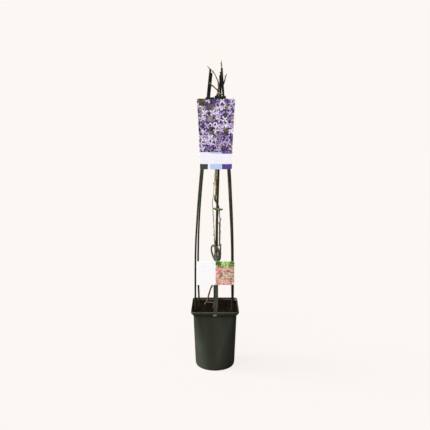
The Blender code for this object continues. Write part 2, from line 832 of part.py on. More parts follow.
def stake_outline(grow):
    """Front view of the stake, from its point up: (x, z) pairs."""
    half = STAKE_WIDTH / 2 + grow
    return (
        (STAKE_X, STAKE_POINT - 2 * grow),
        (STAKE_X + half, STAKE_SHOULDER - grow),
        (STAKE_X + half, STAKE_TOP),
        (STAKE_X - half, STAKE_TOP),
        (STAKE_X - half, STAKE_SHOULDER - grow),
    )


def plate(name, outline, front, thickness, material=None):
    """A flat plate: an outline of (x, z) pairs with its front face at y = front."""
    bm = bmesh.new()
    face = bm.faces.new([bm.verts.new((x, front, z)) for x, z in outline])
    swept = bmesh.ops.extrude_face_region(bm, geom=[face])
    moved = [item for item in swept["geom"] if isinstance(item, bmesh.types.BMVert)]
    bmesh.ops.translate(bm, vec=(0, thickness, 0), verts=moved)
    return put_bmesh(name, bm, material)


def stake_solid(name, grow):
    front = LABEL_Y + CARD_THICKNESS / 2 + GAP - grow
    depth = STAKE_THICKNESS + STAKE_RIB_RISE + 2 * grow
    return plate(name, stake_outline(grow), front, depth)


def make_stake():
    """A strip with a raised rib down each edge, like a shallow channel open to the front."""
    stake = stake_solid("label_stake", 0.0)
    stake.data.materials.append(finish("stake_plastic", (0.065, 0.070, 0.055), 0.50))
    front = LABEL_Y + CARD_THICKNESS / 2 + GAP
    half = STAKE_WIDTH / 2 - STAKE_RIB
    low = STAKE_SHOULDER + STAKE_CHANNEL_START
    high = STAKE_TOP + STAKE_CHANNEL_PAST_TOP
    channel = (
        (STAKE_X - half, low),
        (STAKE_X + half, low),
        (STAKE_X + half, high),
        (STAKE_X - half, high),
    )
    cutter = plate("channel", channel, front - STAKE_RIB_RISE, 2 * STAKE_RIB_RISE)
    combine(stake, [cutter], "DIFFERENCE")
    return stake


def corner_arc(cx, cz, radius, start):
    """A quarter turn, as (x, z) pairs, anticlockwise from the start angle in degrees."""
    arc = []
    for index in range(ARC_STEPS + 1):
        angle = math.radians(start + 90 * index / ARC_STEPS)
        arc.append((cx + radius * math.cos(angle), cz + radius * math.sin(angle)))
    return arc


def make_label_card():
    inner = LABEL_CORNER
    outline = []
    outline += corner_arc(LABEL_RIGHT - inner, LABEL_TOP - inner, inner, 0)
    outline += corner_arc(LABEL_LEFT + inner, LABEL_TOP - inner, inner, 90)
    outline += corner_arc(LABEL_LEFT + inner, LABEL_BOTTOM + inner, inner, 180)
    outline += corner_arc(LABEL_RIGHT - inner, LABEL_BOTTOM + inner, inner, 270)
    front = LABEL_Y - CARD_THICKNESS / 2
    material = finish("printed_label", (0.80, 0.78, 0.78), 0.35)
    return plate("label_card", outline, front, CARD_THICKNESS, material)


def display_half_width(share):
    """Half width of the tall card from its foot (0) to its top (1): a parabola through three widths."""
    foot, middle, top = DISPLAY_HALF_WIDTHS
    straight = foot + (top - foot) * share
    return straight + 4 * share * (1 - share) * (middle - (foot + top) / 2)


def make_display_card():
    height = DISPLAY_TOP - DISPLAY_BOTTOM
    radius = DISPLAY_CORNER
    foot = display_half_width(0)
    top = display_half_width(1)
    straight = 1 - 2 * radius / height
    shares = [radius / height + straight * step / SIDE_STEPS for step in range(SIDE_STEPS + 1)]
    right = [(display_half_width(share), DISPLAY_BOTTOM + height * share) for share in shares]
    outline = corner_arc(foot - radius, DISPLAY_BOTTOM + radius, radius, 270)[:-1]
    outline += right
    outline += corner_arc(top - radius, DISPLAY_TOP - radius, radius, 0)[1:]
    mirrored = [(-x, z) for x, z in reversed(outline)]
    whole = [(x + DISPLAY_CENTRE_X, z) for x, z in outline + mirrored]
    material = finish("printed_card", (0.55, 0.48, 0.66), 0.30)
    card = plate("display_card", whole, 0.0, CARD_THICKNESS, material)
    lean = (DISPLAY_TOP_Y - DISPLAY_BOTTOM_Y) / height
    shear = Matrix(((1, 0, 0, 0), (0, 1, lean, 0), (0, 0, 1, 0), (0, 0, 0, 1)))
    start = DISPLAY_BOTTOM_Y - lean * DISPLAY_BOTTOM - CARD_THICKNESS / 2
    card.data.transform(Matrix.Translation((0, start, 0)) @ shear)
    return card


def make_clip(name, material):
    """A bar with a round knob at each end, bored for its canes, slotted from below for the card."""
    (left, right), level, height, knob_radius, canes = CLIPS[name]
    depth = CLIP_BACK - CLIP_FRONT
    middle_y = (CLIP_FRONT + CLIP_BACK) / 2
    bm = bmesh.new()
    bmesh.ops.create_cube(bm, size=1.0)
    size = (right - left - 2 * knob_radius, depth - CLIP_BEVEL, height)
    bmesh.ops.scale(bm, vec=size, verts=bm.verts)
    bmesh.ops.translate(bm, vec=((left + right) / 2, middle_y, level), verts=bm.verts)
    clip = put_bmesh(name, bm, material)
    knobs = []
    for x in (left + knob_radius, right - knob_radius):
        bm = bmesh.new()
        bmesh.ops.create_cone(
            bm,
            segments=16,
            radius1=knob_radius,
            radius2=knob_radius,
            depth=depth,
            cap_ends=True,
        )
        rims = [edge for edge in bm.edges if max(len(face.verts) for face in edge.link_faces) > 4]
        bmesh.ops.bevel(bm, geom=rims, offset=CLIP_BEVEL, segments=1, affect="EDGES")
        bmesh.ops.rotate(bm, matrix=Matrix.Rotation(math.pi / 2, 3, "X"), verts=bm.verts)
        bmesh.ops.translate(bm, vec=(x, middle_y, level), verts=bm.verts)
        knobs.append(put_bmesh("knob", bm))
    combine(clip, knobs, "UNION")
    bores = [solid_copy(tube("bore", near(cane_path(cane, GAP), level))) for cane in canes]
    bores.append(card_slot(level, knob_radius))
    combine(clip, bores, "DIFFERENCE")
    smooth_shaded(clip, 30)
    return clip


def near(path, level):
    """A short stretch of a path on either side of a level."""
    return [axis_at(path, level + offset) for offset in (-CLIP_BORE_REACH, 0.0, CLIP_BORE_REACH)]


def card_slot(level, knob_radius):
    """Cutter for the slot that takes the card's upper edge."""
    width = CARD_THICKNESS + 2 * GAP
    lean = (DISPLAY_TOP_Y - DISPLAY_BOTTOM_Y) / (DISPLAY_TOP - DISPLAY_BOTTOM)
    roof = DISPLAY_TOP + GAP
    low = level - 2 * knob_radius
    bm = bmesh.new()
    bmesh.ops.create_cube(bm, size=1.0)
    bmesh.ops.scale(bm, vec=(CARD_SLOT_LENGTH, width, roof - low), verts=bm.verts)
    bmesh.ops.translate(bm, vec=(0, 0, (roof + low) / 2), verts=bm.verts)
    for vert in bm.verts:
        vert.co.y += DISPLAY_TOP_Y + (vert.co.z - DISPLAY_TOP) * lean
    return put_bmesh("slot", bm)


def string_round(discs, level, slope, radius):
    """A taut loop round discs of (x, y, radius), as points of (x, y, z, cord radius)."""
    loop = []
    for index in range(TIE_POINTS):
        angle = 2 * math.pi * index / TIE_POINTS
        way = Vector((math.cos(angle), math.sin(angle)))
        x, y, reach = max(discs, key=lambda disc: way.dot(disc[:2]) + disc[2])
        stand = reach + radius + TIE_GAP
        px = x + way.x * stand
        py = y + way.y * stand
        loop.append(Vector((px, py, level + slope * px, radius)))
    return loop


def discs_at(level, canes, strands):
    """Where canes and strands cross the band of heights that a tie takes up."""
    found = []
    for name in canes:
        place = axis_at(cane_axis(name, FINE_STEP), level)
        found.append((place[0], place[1], place[3]))
    paths = plant_strands()
    for name in strands:
        for offset in (-TIE_BAND, -TIE_BAND / 2, 0, TIE_BAND / 2, TIE_BAND):
            place = axis_at(paths[name][0], level + offset)
            found.append((place[0], place[1], place[3]))
    return found


def make_tie(name, material):
    """A cord loop with a knot and loose tails, joined into one solid."""
    level, slope, radius, strands, knot_index, knot_size, tails = TIES[name]
    loop = string_round(discs_at(level, ("cane_centre",), strands), level, slope, radius)
    tie = solid_copy(tube(name, loop, closed=True, resolution=1))
    knot_place = loop[knot_index].to_3d()
    bm = bmesh.new()
    bmesh.ops.create_icosphere(bm, subdivisions=2, radius=1.0)
    bmesh.ops.scale(bm, vec=knot_size, verts=bm.verts)
    out = Vector((0, radius - knot_size[1], 0))
    bmesh.ops.translate(bm, vec=knot_place + out, verts=bm.verts)
    parts = [put_bmesh("knot", bm)]
    for tail in tails:
        points = [(*(knot_place + Vector(offset)), radius * TAIL_SHARE) for offset in tail]
        parts.append(solid_copy(tube("tail", through(points, TAIL_STEP), resolution=1)))
    combine(tie, parts, "UNION")
    tie.data.materials.append(material)
    smooth_shaded(tie, 60)
    return tie


def main():
    clear_scene()
    make_pot()
    make_soil()
    make_canes()
    clip_plastic = finish("clip_plastic", (0.012, 0.012, 0.012), 0.40)
    for name in CLIPS:
        make_clip(name, clip_plastic)
    make_display_card()
    make_label_card()
    make_stake()
    make_plant()
    cord = finish("tie_cord", (0.16, 0.24, 0.085), 0.60)
    for name in TIES:
        make_tie(name, cord)


main()
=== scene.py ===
"""A bare young climber on a wigwam of dyed canes, in a square-topped nursery pot."""
import bisect
import math
import random

import bmesh
import bpy
from bpy.props import FloatProperty, FloatVectorProperty, IntProperty, PointerProperty
from mathutils import Matrix, Vector, noise


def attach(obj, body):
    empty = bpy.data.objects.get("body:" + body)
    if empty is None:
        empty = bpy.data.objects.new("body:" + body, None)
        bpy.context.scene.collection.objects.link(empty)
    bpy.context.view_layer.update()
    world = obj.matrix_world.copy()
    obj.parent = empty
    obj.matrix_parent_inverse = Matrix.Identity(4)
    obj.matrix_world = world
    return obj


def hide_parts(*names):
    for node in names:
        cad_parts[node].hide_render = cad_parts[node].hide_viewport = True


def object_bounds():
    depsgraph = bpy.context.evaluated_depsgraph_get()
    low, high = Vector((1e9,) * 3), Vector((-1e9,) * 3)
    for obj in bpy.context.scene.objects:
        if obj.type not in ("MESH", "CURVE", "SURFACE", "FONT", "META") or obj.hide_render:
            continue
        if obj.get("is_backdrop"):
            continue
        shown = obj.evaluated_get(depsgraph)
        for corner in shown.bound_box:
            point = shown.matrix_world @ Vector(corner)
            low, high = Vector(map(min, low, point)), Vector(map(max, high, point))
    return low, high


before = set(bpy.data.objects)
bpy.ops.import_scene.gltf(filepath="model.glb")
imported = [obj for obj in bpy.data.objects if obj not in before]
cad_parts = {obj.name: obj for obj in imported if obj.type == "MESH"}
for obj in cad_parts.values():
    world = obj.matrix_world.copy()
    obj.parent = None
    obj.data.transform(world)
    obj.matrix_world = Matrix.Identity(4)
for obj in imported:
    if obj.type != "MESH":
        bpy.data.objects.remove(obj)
CAD_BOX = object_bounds()
BODY = "root"

bl_info = {
    "name": "Potted climber",
    "version": (1, 0, 0),
    "blender": (4, 5, 0),
    "location": "View3D > Sidebar > Climber",
    "description": "Dresses the packed plant, pot, canes, cards and ties",
    "category": "Add Mesh",
}

# Gaps kept between touching pieces, in metres like everything here
GAP = 0.0003
STEM_GAP = 0.0009

# Pot: square at the rim, round at the base
POT_HEIGHT = 0.184
RIM_HALF = 0.070
RIM_CORNER = 0.011
LIP_EDGE = 0.0055
LIP_SLOPE = 0.0110
NECK_HALF = 0.0632
NECK_CORNER = 0.015
BASE_RADIUS = 0.0594
FOOT_STEP = 0.0045
FOOT_RADIUS = 0.0580
FOOT_WIDTH = 0.0050
WALL = 0.0014
FLOOR_THICKNESS = 0.0020
DRAIN_RADIUS = 0.0045
DRAIN_CIRCLE = 0.034
DRAIN_COUNT = 6
PAD_SIZE = (0.0066, 0.0018, 0.0040)
PAD_OUT = 0.0007
POT_SPOKES = 192
RING_STEP = 0.012

# Soil
SOIL_LEVEL = 0.1775
SOIL_BUMPS = 46
SOIL_BUMP_RISE = (-0.0022, 0.0026)
SOIL_BUMP_WIDTH = (0.005, 0.012)
# Fine crumb on the soil: how high it stands, how many lumps to a metre, and where its noise is read
SOIL_CRUMB = ((0.0007, 260, 0.3), (0.0004, 620, 0.7))
SOIL_EDGE_INSET = 0.0012
SOIL_EDGE_DROP = 0.0010
SOIL_SEED = 7
SOIL_SPOKES = 192
SOIL_RINGS = 56

# Canes: radius at the foot and at the tip, the heights of the nodes, and axis points from foot to tip
CANE_RADIUS = (0.0027, 0.0030)
CENTRE_CANE_RADIUS = (0.0044, 0.0032)
CANES = {
    "cane_left_front": (
        CANE_RADIUS,
        (0.105, 0.270, 0.452, 0.655, 0.838),
        (
            (-0.0545, -0.0300, 0.080),
            (-0.0577, -0.0300, 0.180),
            (-0.0577, -0.0300, 0.270),
            (-0.0567, -0.0270, 0.358),
            (-0.0539, -0.0239, 0.417),
            (-0.0478, -0.0194, 0.505),
            (-0.0404, -0.0150, 0.590),
            (-0.0302, -0.0090, 0.702),
            (-0.0213, -0.0040, 0.797),
            (-0.0130, -0.0035, 0.8743),
        ),
    ),
    "cane_left_back": (
        CANE_RADIUS,
        (0.120, 0.236, 0.420, 0.611, 0.826),
        (
            (-0.0468, 0.0420, 0.080),
            (-0.0499, 0.0450, 0.187),
            (-0.0521, 0.0445, 0.260),
            (-0.0516, 0.0414, 0.344),
            (-0.0481, 0.0337, 0.438),
            (-0.0413, 0.0262, 0.530),
            (-0.0348, 0.0205, 0.600),
            (-0.0258, 0.0123, 0.702),
            (-0.0166, 0.0042, 0.797),
            (-0.0098, 0.0040, 0.8646),
        ),
    ),
    "cane_centre": (
        CENTRE_CANE_RADIUS,
        (0.110, 0.292, 0.402, 0.560, 0.722, 0.836),
        (
            (0.0055, 0.0150, 0.060),
            (0.0055, 0.0150, 0.190),
            (0.0054, 0.0146, 0.310),
            (0.0053, 0.0118, 0.410),
            (0.0068, 0.0097, 0.480),
            (0.0098, 0.0065, 0.584),
            (0.0123, 0.0028, 0.705),
            (0.0152, 0.0000, 0.797),
            (0.0150, 0.0000, 0.8580),
        ),
    ),
    "cane_right_front": (
        CANE_RADIUS,
        (0.130, 0.310, 0.478, 0.622, 0.848),
        (
            (0.0486, -0.0300, 0.080),
            (0.0507, -0.0300, 0.185),
            (0.0499, -0.0300, 0.270),
            (0.0492, -0.0270, 0.358),
            (0.0471, -0.0241, 0.420),
            (0.0427, -0.0198, 0.505),
            (0.0378, -0.0155, 0.590),
            (0.0307, -0.0100, 0.702),
            (0.0243, -0.0050, 0.797),
            (0.0188, -0.0050, 0.8769),
        ),
    ),
    "cane_right_back": (
        CANE_RADIUS,
        (0.118, 0.262, 0.440, 0.640, 0.842),
        (
            (0.0490, 0.0390, 0.080),
            (0.0556, 0.0420, 0.185),
            (0.0556, 0.0420, 0.270),
            (0.0543, 0.0375, 0.360),
            (0.0521, 0.0324, 0.430),
            (0.0487, 0.0272, 0.503),
            (0.0436, 0.0210, 0.588),
            (0.0332, 0.0125, 0.702),
            (0.0247, 0.0064, 0.797),
            (0.0163, 0.0085, 0.8688),
        ),
    ),
}
CANE_SIDES = 20
CANE_STEP = 0.007
AXIS_STEP = 0.003
# A node of a cane: offsets along it and how far each ring stands out, the sheath scar first
CANE_NODE = (
    (-0.0042, 0.0),
    (-0.0024, 0.00005),
    (-0.0012, 0.00012),
    (-0.0006, 0.00022),
    (-0.0003, 0.00034),
    (0.0001, 0.00032),
    (0.0004, 0.00012),
    (0.0009, 0.00016),
    (0.0017, 0.00021),
    (0.0028, 0.00012),
    (0.0046, 0.0),
)
CANE_WALL = 0.0011
CANE_HOLLOW = 0.006

# Clip bars: ends along X, level, height, the radius of the end knobs, and the canes in it
CLIPS = {
    "clip_left": (
        (-0.0271, -0.0024),
        0.7934,
        0.0046,
        0.0032,
        ("cane_left_front", "cane_left_back"),
    ),
    "clip_right": (
        (-0.0018, 0.0311),
        0.7962,
        0.0060,
        0.0041,
        ("cane_centre", "cane_right_front", "cane_right_back"),
    ),
}
CLIP_FRONT = -0.0124
CLIP_BACK = 0.0110

# Display card: leans on the front canes, its upper edge in the slots of the clip bars
CARD_THICKNESS = 0.0008
CARD_EDGE = 0.00012
DISPLAY_CENTRE_X = 0.0028
DISPLAY_TOP = 0.7924
DISPLAY_BOTTOM = 0.5932
DISPLAY_TOP_Y = -0.0098
DISPLAY_BOTTOM_Y = -0.0191
DISPLAY_HALF_WIDTHS = (0.0457, 0.0488, 0.0548)
DISPLAY_CORNER = 0.0045
DISPLAY_ROWS = 10

# Small card and its stake
LABEL_LEFT = -0.0518
LABEL_RIGHT = 0.0555
LABEL_TOP = 0.3315
LABEL_BOTTOM = 0.2619
LABEL_Y = -0.0562
LABEL_CORNER = 0.0015
STAKE_X = 0.0018
STAKE_WIDTH = 0.0124
STAKE_THICKNESS = 0.0014
STAKE_RIB = 0.0016
STAKE_RIB_RISE = 0.0009
STAKE_TOP = 0.3240
STAKE_POINT = 0.105
STAKE_SHOULDER = 0.125
# Shares of the stake's width and thickness that are left at its point, and the rib's draft
STAKE_TIP_SHARES = (0.06, 0.5)
STAKE_RIB_DRAFT = 0.0003

# Plant: each strand is a list of (x, y, z, radius), from its root to its tip
STRANDS = {
    "trunk": (
        (-0.0250, 0.0220, 0.1350, 0.0030),
        (-0.0264, 0.0215, 0.1760, 0.0034),
        (-0.0236, 0.0205, 0.1900, 0.0028),
        (-0.0199, 0.0190, 0.2055, 0.0024),
        (-0.0137, 0.0150, 0.2280, 0.0023),
        (-0.0075, 0.0100, 0.2430, 0.0024),
        (-0.0010, 0.0050, 0.2620, 0.0028),
        (0.0045, 0.0020, 0.2850, 0.0034),
        (0.0090, 0.0025, 0.3030, 0.0044),
        (0.0100, 0.0040, 0.3190, 0.0052),
        (0.0098, 0.0040, 0.3300, 0.0042),
    ),
    "twist_left": (
        (0.0090, 0.0040, 0.3160, 0.0036),
        (0.0040, 0.0060, 0.3230, 0.0039),
        (0.0012, 0.0062, 0.3340, 0.0039),
        (0.0010, 0.0060, 0.3480, 0.0036),
        (0.0004, 0.0070, 0.3600, 0.0029),
        (-0.0006, 0.0085, 0.3740, 0.0023),
        (-0.0022, 0.0085, 0.3900, 0.0021),
        (-0.0030, 0.0080, 0.4072, 0.0020),
        (-0.0043, 0.0075, 0.4300, 0.0018),
        (-0.0054, 0.0070, 0.4540, 0.0017),
        (-0.0068, 0.0060, 0.4760, 0.0016),
        (-0.0080, 0.0055, 0.4900, 0.0015),
        (-0.0073, 0.0055, 0.5030, 0.0015),
        (-0.0050, 0.0055, 0.5170, 0.0016),
        (-0.0038, 0.0055, 0.5400, 0.0016),
        (-0.0010, 0.0045, 0.5670, 0.0016),
        (0.0016, 0.0020, 0.6000, 0.0015),
        (0.0045, -0.0050, 0.6450, 0.0013),
        (0.0125, -0.0070, 0.6800, 0.0013),
        (0.0205, 0.0030, 0.7150, 0.0013),
        (0.0170, 0.0120, 0.7550, 0.0013),
        (0.0145, 0.0140, 0.7950, 0.0013),
        (0.0146, 0.0110, 0.8150, 0.0013),
        (0.0185, 0.0128, 0.8400, 0.0013),
        (0.0192, 0.0128, 0.8600, 0.0014),
        (0.0186, 0.0098, 0.8800, 0.0017),
        (0.0179, 0.0062, 0.8920, 0.0018),
        (0.0173, 0.0055, 0.9010, 0.0011),
    ),
    "twist_middle": (
        (0.0096, 0.0040, 0.3160, 0.0046),
        (0.0100, 0.0042, 0.3300, 0.0050),
        (0.0096, 0.0044, 0.3440, 0.0046),
        (0.0085, 0.0040, 0.3540, 0.0034),
        (0.0076, 0.0038, 0.3600, 0.0020),
    ),
    "twist_right": (
        (0.0100, 0.0045, 0.3170, 0.0038),
        (0.0144, 0.0074, 0.3270, 0.0036),
        (0.0155, 0.0090, 0.3400, 0.0033),
        (0.0158, 0.0094, 0.3530, 0.0029),
        (0.0164, 0.0092, 0.3620, 0.0024),
        (0.0138, 0.0080, 0.3740, 0.0021),
        (0.0141, 0.0080, 0.3950, 0.0023),
        (0.0141, 0.0068, 0.4190, 0.0022),
        (0.0147, 0.0060, 0.4330, 0.0020),
        (0.0150, 0.0052, 0.4450, 0.0017),
        (0.0128, 0.0066, 0.4580, 0.0015),
        (0.0122, 0.0096, 0.4670, 0.0017),
        (0.0118, 0.0128, 0.4750, 0.0018),
        (0.0100, 0.0165, 0.4840, 0.0018),
        (0.0035, 0.0150, 0.4940, 0.0020),
        (0.0012, 0.0095, 0.5050, 0.0028),
        (0.0030, 0.0052, 0.5200, 0.0026),
        (0.0031, 0.0026, 0.5500, 0.0026),
        (0.0028, 0.0010, 0.5750, 0.0025),
        (0.0050, -0.0020, 0.6100, 0.0023),
        (0.0120, -0.0065, 0.6550, 0.0021),
        (0.0200, 0.0010, 0.6900, 0.0020),
        (0.0160, 0.0110, 0.7250, 0.0020),
        (0.0090, 0.0138, 0.7600, 0.0020),
        (0.0078, 0.0146, 0.7970, 0.0024),
        (0.0090, 0.0108, 0.8150, 0.0025),
        (0.0104, 0.0085, 0.8290, 0.0022),
        (0.0082, 0.0076, 0.8430, 0.0017),
        (0.0041, 0.0080, 0.8520, 0.0015),
        (-0.0013, 0.0095, 0.8635, 0.0015),
        (-0.0111, 0.0115, 0.8742, 0.0014),
        (-0.0184, 0.0120, 0.8812, 0.0014),
        (-0.0226, 0.0120, 0.8868, 0.0011),
    ),
    "side_loop": (
        (0.0060, 0.0050, 0.3170, 0.0024),
        (0.0000, 0.0040, 0.3214, 0.0030),
        (-0.0045, 0.0035, 0.3306, 0.0029),
        (-0.0078, 0.0032, 0.3397, 0.0026),
        (-0.0102, 0.0030, 0.3485, 0.0025),
        (-0.0108, 0.0030, 0.3572, 0.0025),
        (-0.0090, 0.0030, 0.3638, 0.0026),
        (-0.0060, 0.0028, 0.3662, 0.0028),
        (-0.0028, 0.0022, 0.3644, 0.0028),
        (0.0020, 0.0010, 0.3610, 0.0026),
        (0.0062, 0.0000, 0.3564, 0.0027),
        (0.0105, 0.0004, 0.3500, 0.0028),
        (0.0142, 0.0040, 0.3420, 0.0025),
        (0.0150, 0.0072, 0.3370, 0.0020),
    ),
    "root_short": (
        (-0.0258, 0.0208, 0.1850, 0.0030),
        (-0.0296, 0.0190, 0.1808, 0.0028),
        (-0.0350, 0.0175, 0.1700, 0.0018),
    ),
    "root_stub": (
        (-0.0240, 0.0210, 0.1880, 0.0023),
        (-0.0190, 0.0222, 0.1895, 0.0022),
        (-0.0126, 0.0232, 0.1906, 0.0017),
    ),
    "root_arched": (
        (-0.0245, 0.0195, 0.1855, 0.0020),
        (-0.0160, 0.0145, 0.1862, 0.0017),
        (-0.0072, 0.0080, 0.1880, 0.0016),
        (-0.0038, 0.0005, 0.1862, 0.0015),
        (-0.0060, -0.0060, 0.1780, 0.0014),
        (-0.0068, -0.0085, 0.1680, 0.0012),
    ),
    "cross_twig": (
        (0.0012, 0.0060, 0.3540, 0.0020),
        (0.0040, 0.0040, 0.3585, 0.0018),
        (0.0080, 0.0040, 0.3625, 0.0016),
        (0.0118, 0.0055, 0.3665, 0.0015),
        (0.0138, 0.0080, 0.3730, 0.0014),
    ),
    "short_spur": (
        (0.0137, 0.0075, 0.4150, 0.0014),
        (0.0130, 0.0060, 0.4270, 0.0013),
        (0.0102, 0.0040, 0.4370, 0.0011),
    ),
    "left_twig": (
        (0.0082, 0.0098, 0.8165, 0.0018),
        (0.0030, 0.0030, 0.8205, 0.0016),
        (-0.0042, -0.0060, 0.8258, 0.0015),
        (-0.0110, -0.0090, 0.8305, 0.0015),
        (-0.0145, -0.0092, 0.8345, 0.0011),
    ),
    "right_twig": (
        (0.0168, 0.0120, 0.8280, 0.0012),
        (0.0222, 0.0125, 0.8330, 0.0018),
        (0.0248, 0.0095, 0.8385, 0.0019),
        (0.0272, 0.0080, 0.8440, 0.0016),
        (0.0300, 0.0070, 0.8530, 0.0013),
        (0.0334, 0.0070, 0.8630, 0.0011),
    ),
}
TWIST_STEP = 0.0045
STRAND_STEP = 0.009
LONG_SHOOTS = ("twist_left", "twist_right")

# Buds: the strand and the height that each grows from, the way it points, length and radius
BUDS = (
    ("twist_left", 0.3930, (-0.50, -0.10, 1.0), 0.0080, 0.0018),
    ("twist_left", 0.5120, (0.65, -0.30, 1.0), 0.0075, 0.0017),
    ("twist_left", 0.5480, (-0.60, -0.20, 1.0), 0.0065, 0.0015),
    ("twist_left", 0.8880, (-0.55, -0.20, 1.0), 0.0065, 0.0015),
    ("twist_right", 0.3640, (0.60, -0.20, 1.0), 0.0075, 0.0017),
    ("twist_right", 0.4040, (0.65, -0.20, 1.0), 0.0065, 0.0015),
    ("twist_right", 0.4420, (0.60, -0.30, 1.0), 0.0080, 0.0019),
    ("twist_right", 0.5030, (-0.70, -0.30, 1.0), 0.0080, 0.0019),
    ("twist_right", 0.8150, (-0.50, -0.20, 1.0), 0.0080, 0.0019),
    ("twist_right", 0.8690, (0.30, -0.30, 1.0), 0.0050, 0.0013),
    ("left_twig", 0.8330, (-0.35, -0.10, 1.0), 0.0055, 0.0015),
    ("right_twig", 0.8360, (0.75, -0.20, 1.0), 0.0070, 0.0018),
    ("right_twig", 0.8530, (-0.60, -0.10, 1.0), 0.0060, 0.0013),
)
BUD_STAND = 0.45

# Ties: level, slope along X, cord radius, the strands held to the centre cane, the knot's place
# in shares of the loop, the knot's half sizes, and its loose tails as offsets from the knot
TIES = {
    "tie_middle": (
        0.4752,
        -0.12,
        0.0029,
        ("twist_right",),
        21 / 28,
        (0.0050, 0.0034, 0.0050),
        (
            (
                (0.0, -0.0010, 0.0),
                (-0.0045, -0.0024, 0.0018),
                (-0.0085, -0.0020, 0.0030),
                (-0.0118, -0.0012, 0.0034),
            ),
            (
                (0.0, -0.0010, 0.0),
                (0.0048, -0.0020, 0.0004),
                (0.0104, -0.0018, -0.0004),
                (0.0160, -0.0008, 0.0004),
            ),
        ),
    ),
    "tie_top": (
        0.8046,
        0.0,
        0.0015,
        ("twist_left", "twist_right"),
        19 / 28,
        (0.0045, 0.0024, 0.0034),
        (
            (
                (0.0, -0.0010, 0.0),
                (-0.0035, -0.0016, 0.0014),
                (-0.0065, -0.0014, 0.0012),
                (-0.0088, -0.0008, 0.0),
            ),
            (
                (0.0, -0.0010, 0.0),
                (0.0028, -0.0014, 0.0010),
                (0.0050, -0.0012, -0.0004),
            ),
        ),
    ),
}
TIE_GAP = 0.0004
TIE_BAND = 0.0060
TIE_POINTS = 56
TIE_SIDES = 16
TIE_STEP = 0.001
TIE_AXIS_STEP = 0.005
# Loose ends of a tie: their share of the cord's radius, and the wall and depth of the hollow end
TAIL_SHARE = 0.9
TAIL_WALL = 0.35
TAIL_HOLLOW = 1.5
# The knot's tube: its share of the cord's radius, and the thinnest that it gets
KNOT_SHARE = 0.55
KNOT_THIN = 0.0008
THIN_CORD = 0.0015
KNOT_POINTS = 72

# Camera: at the photograph's viewing angle
CAMERA_PLACE = (0.0, -1.387, 0.653)
CAMERA_PITCH = 82.0
CAMERA_LENS = 39.75


def linear(hex_code):
    """The linear colour of an sRGB hex value, with full alpha."""
    shares = [int(hex_code[place:place + 2], 16) / 255 for place in (1, 3, 5)]
    curve = [s / 12.92 if s <= 0.04045 else ((s + 0.055) / 1.055) ** 2.4 for s in shares]
    return (*curve, 1.0)


def colour(name, description, hex_code):
    """A colour property whose default is an sRGB hex value."""
    return FloatVectorProperty(
        name=name,
        description=description,
        default=linear(hex_code),
        size=4,
        min=0.0,
        max=1.0,
        subtype="COLOR",
    )


def length(name, description, default):
    """A length property in metres."""
    return FloatProperty(
        name=name,
        description=description,
        default=default,
        min=0.0,
        precision=5,
        subtype="DISTANCE",
        unit="LENGTH",
    )


def strength(name, description, default):
    """A light's strength."""
    return FloatProperty(name=name, description=description, default=default, min=0.0)


def share_of(name, description, default):
    """A share from none to all."""
    return FloatProperty(
        name=name,
        description=description,
        default=default,
        min=0.0,
        max=1.0,
        subtype="FACTOR",
    )


def number(name, description, default):
    """How many of something there are."""
    return IntProperty(name=name, description=description, default=default, min=0)


class StageSettings(bpy.types.PropertyGroup):
    backdrop: colour("Backdrop", "What the camera sees of the floor and beyond", "#fcf7f3")
    dome: strength("Dome", "Mean strength of the light all round", 0.66)
    lean: share_of("Lean", "How much of the dome's light comes from the left", 0.8)
    key: strength("Key light", "Strength of the softbox at the left front", 3.75)
    side: strength("Side light", "Strength of the softbox at the left", 6.2)
    fill: strength("Fill light", "Strength of the weak light at the right", 0.3)
    glow: share_of("Floor glow", "Share of the floor's light that comes through it", 0.89)


class PotSettings(bpy.types.PropertyGroup):
    plastic: colour("Plastic", "Moulded wall", "#292c24")
    # The bloom colour also paints light on the lower left of the wall
    pale: colour("Bloom", "Dull haze and scuffs on the wall", "#383b2f")
    dust: colour("Dust", "Dried soil near the rim and the foot", "#3c392a")
    # The pad colour paints a highlight on the small oval pad under the rim
    pad: colour("Pad", "The rubbed oval pad under the rim", "#7a7b72")
    roughness: share_of("Roughness", "Roughness of the clean wall", 0.40)


class SoilSettings(bpy.types.PropertyGroup):
    dark: colour("Wet peat", "The darkest crumb", "#050302")
    brown: colour("Dry peat", "The drier crumb", "#0f0a05")
    bark: colour("Bark bits", "Chips and fibres in the peat", "#3b2511")
    crumbs: number("Crumbs", "Loose crumbs lying on the soil", 1500)
    chips: number("Chips", "Bark chips and fibres lying on the soil", 150)
    crumb_size: length("Crumb size", "Radius of a middling crumb", 0.0013)


class CaneSettings(bpy.types.PropertyGroup):
    dye: colour("Dye", "Dark green dye on the skin", "#262b1b")
    worn: colour("Worn dye", "Where the dye has taken less", "#484b36")
    cut: colour("Cut end", "Dyed fibre of the cut end", "#26251a")
    # The tip colour paints shade on the upper ends of the canes, and darkens them towards the foot
    tip: colour("Dipped tip", "The darker ends", "#0d0f09")


class ClipSettings(bpy.types.PropertyGroup):
    plastic: colour("Plastic", "Black moulded clip", "#0c0c0c")
    edge: length("Edge", "Rounding of the clip's edges", 0.0007)


class CardSettings(bpy.types.PropertyGroup):
    sheet: colour("Sheet", "Bare plastic of the card", "#efebf5")
    violet: colour("Violet", "Strongest flower colour", "#573c86")
    lilac: colour("Lilac", "Middling flower colour", "#a78bc0")
    white: colour("White", "Palest petals", "#f1eaf8")
    leaf: colour("Leaf", "Dark ground between the flowers", "#282711")
    lime: colour("Lime", "Young leaves between the flowers", "#a39a44")
    sky: colour("Pale blue", "The middle block", "#b9c9ec")
    slate: colour("Slate", "The dark block", "#3a3f3c")


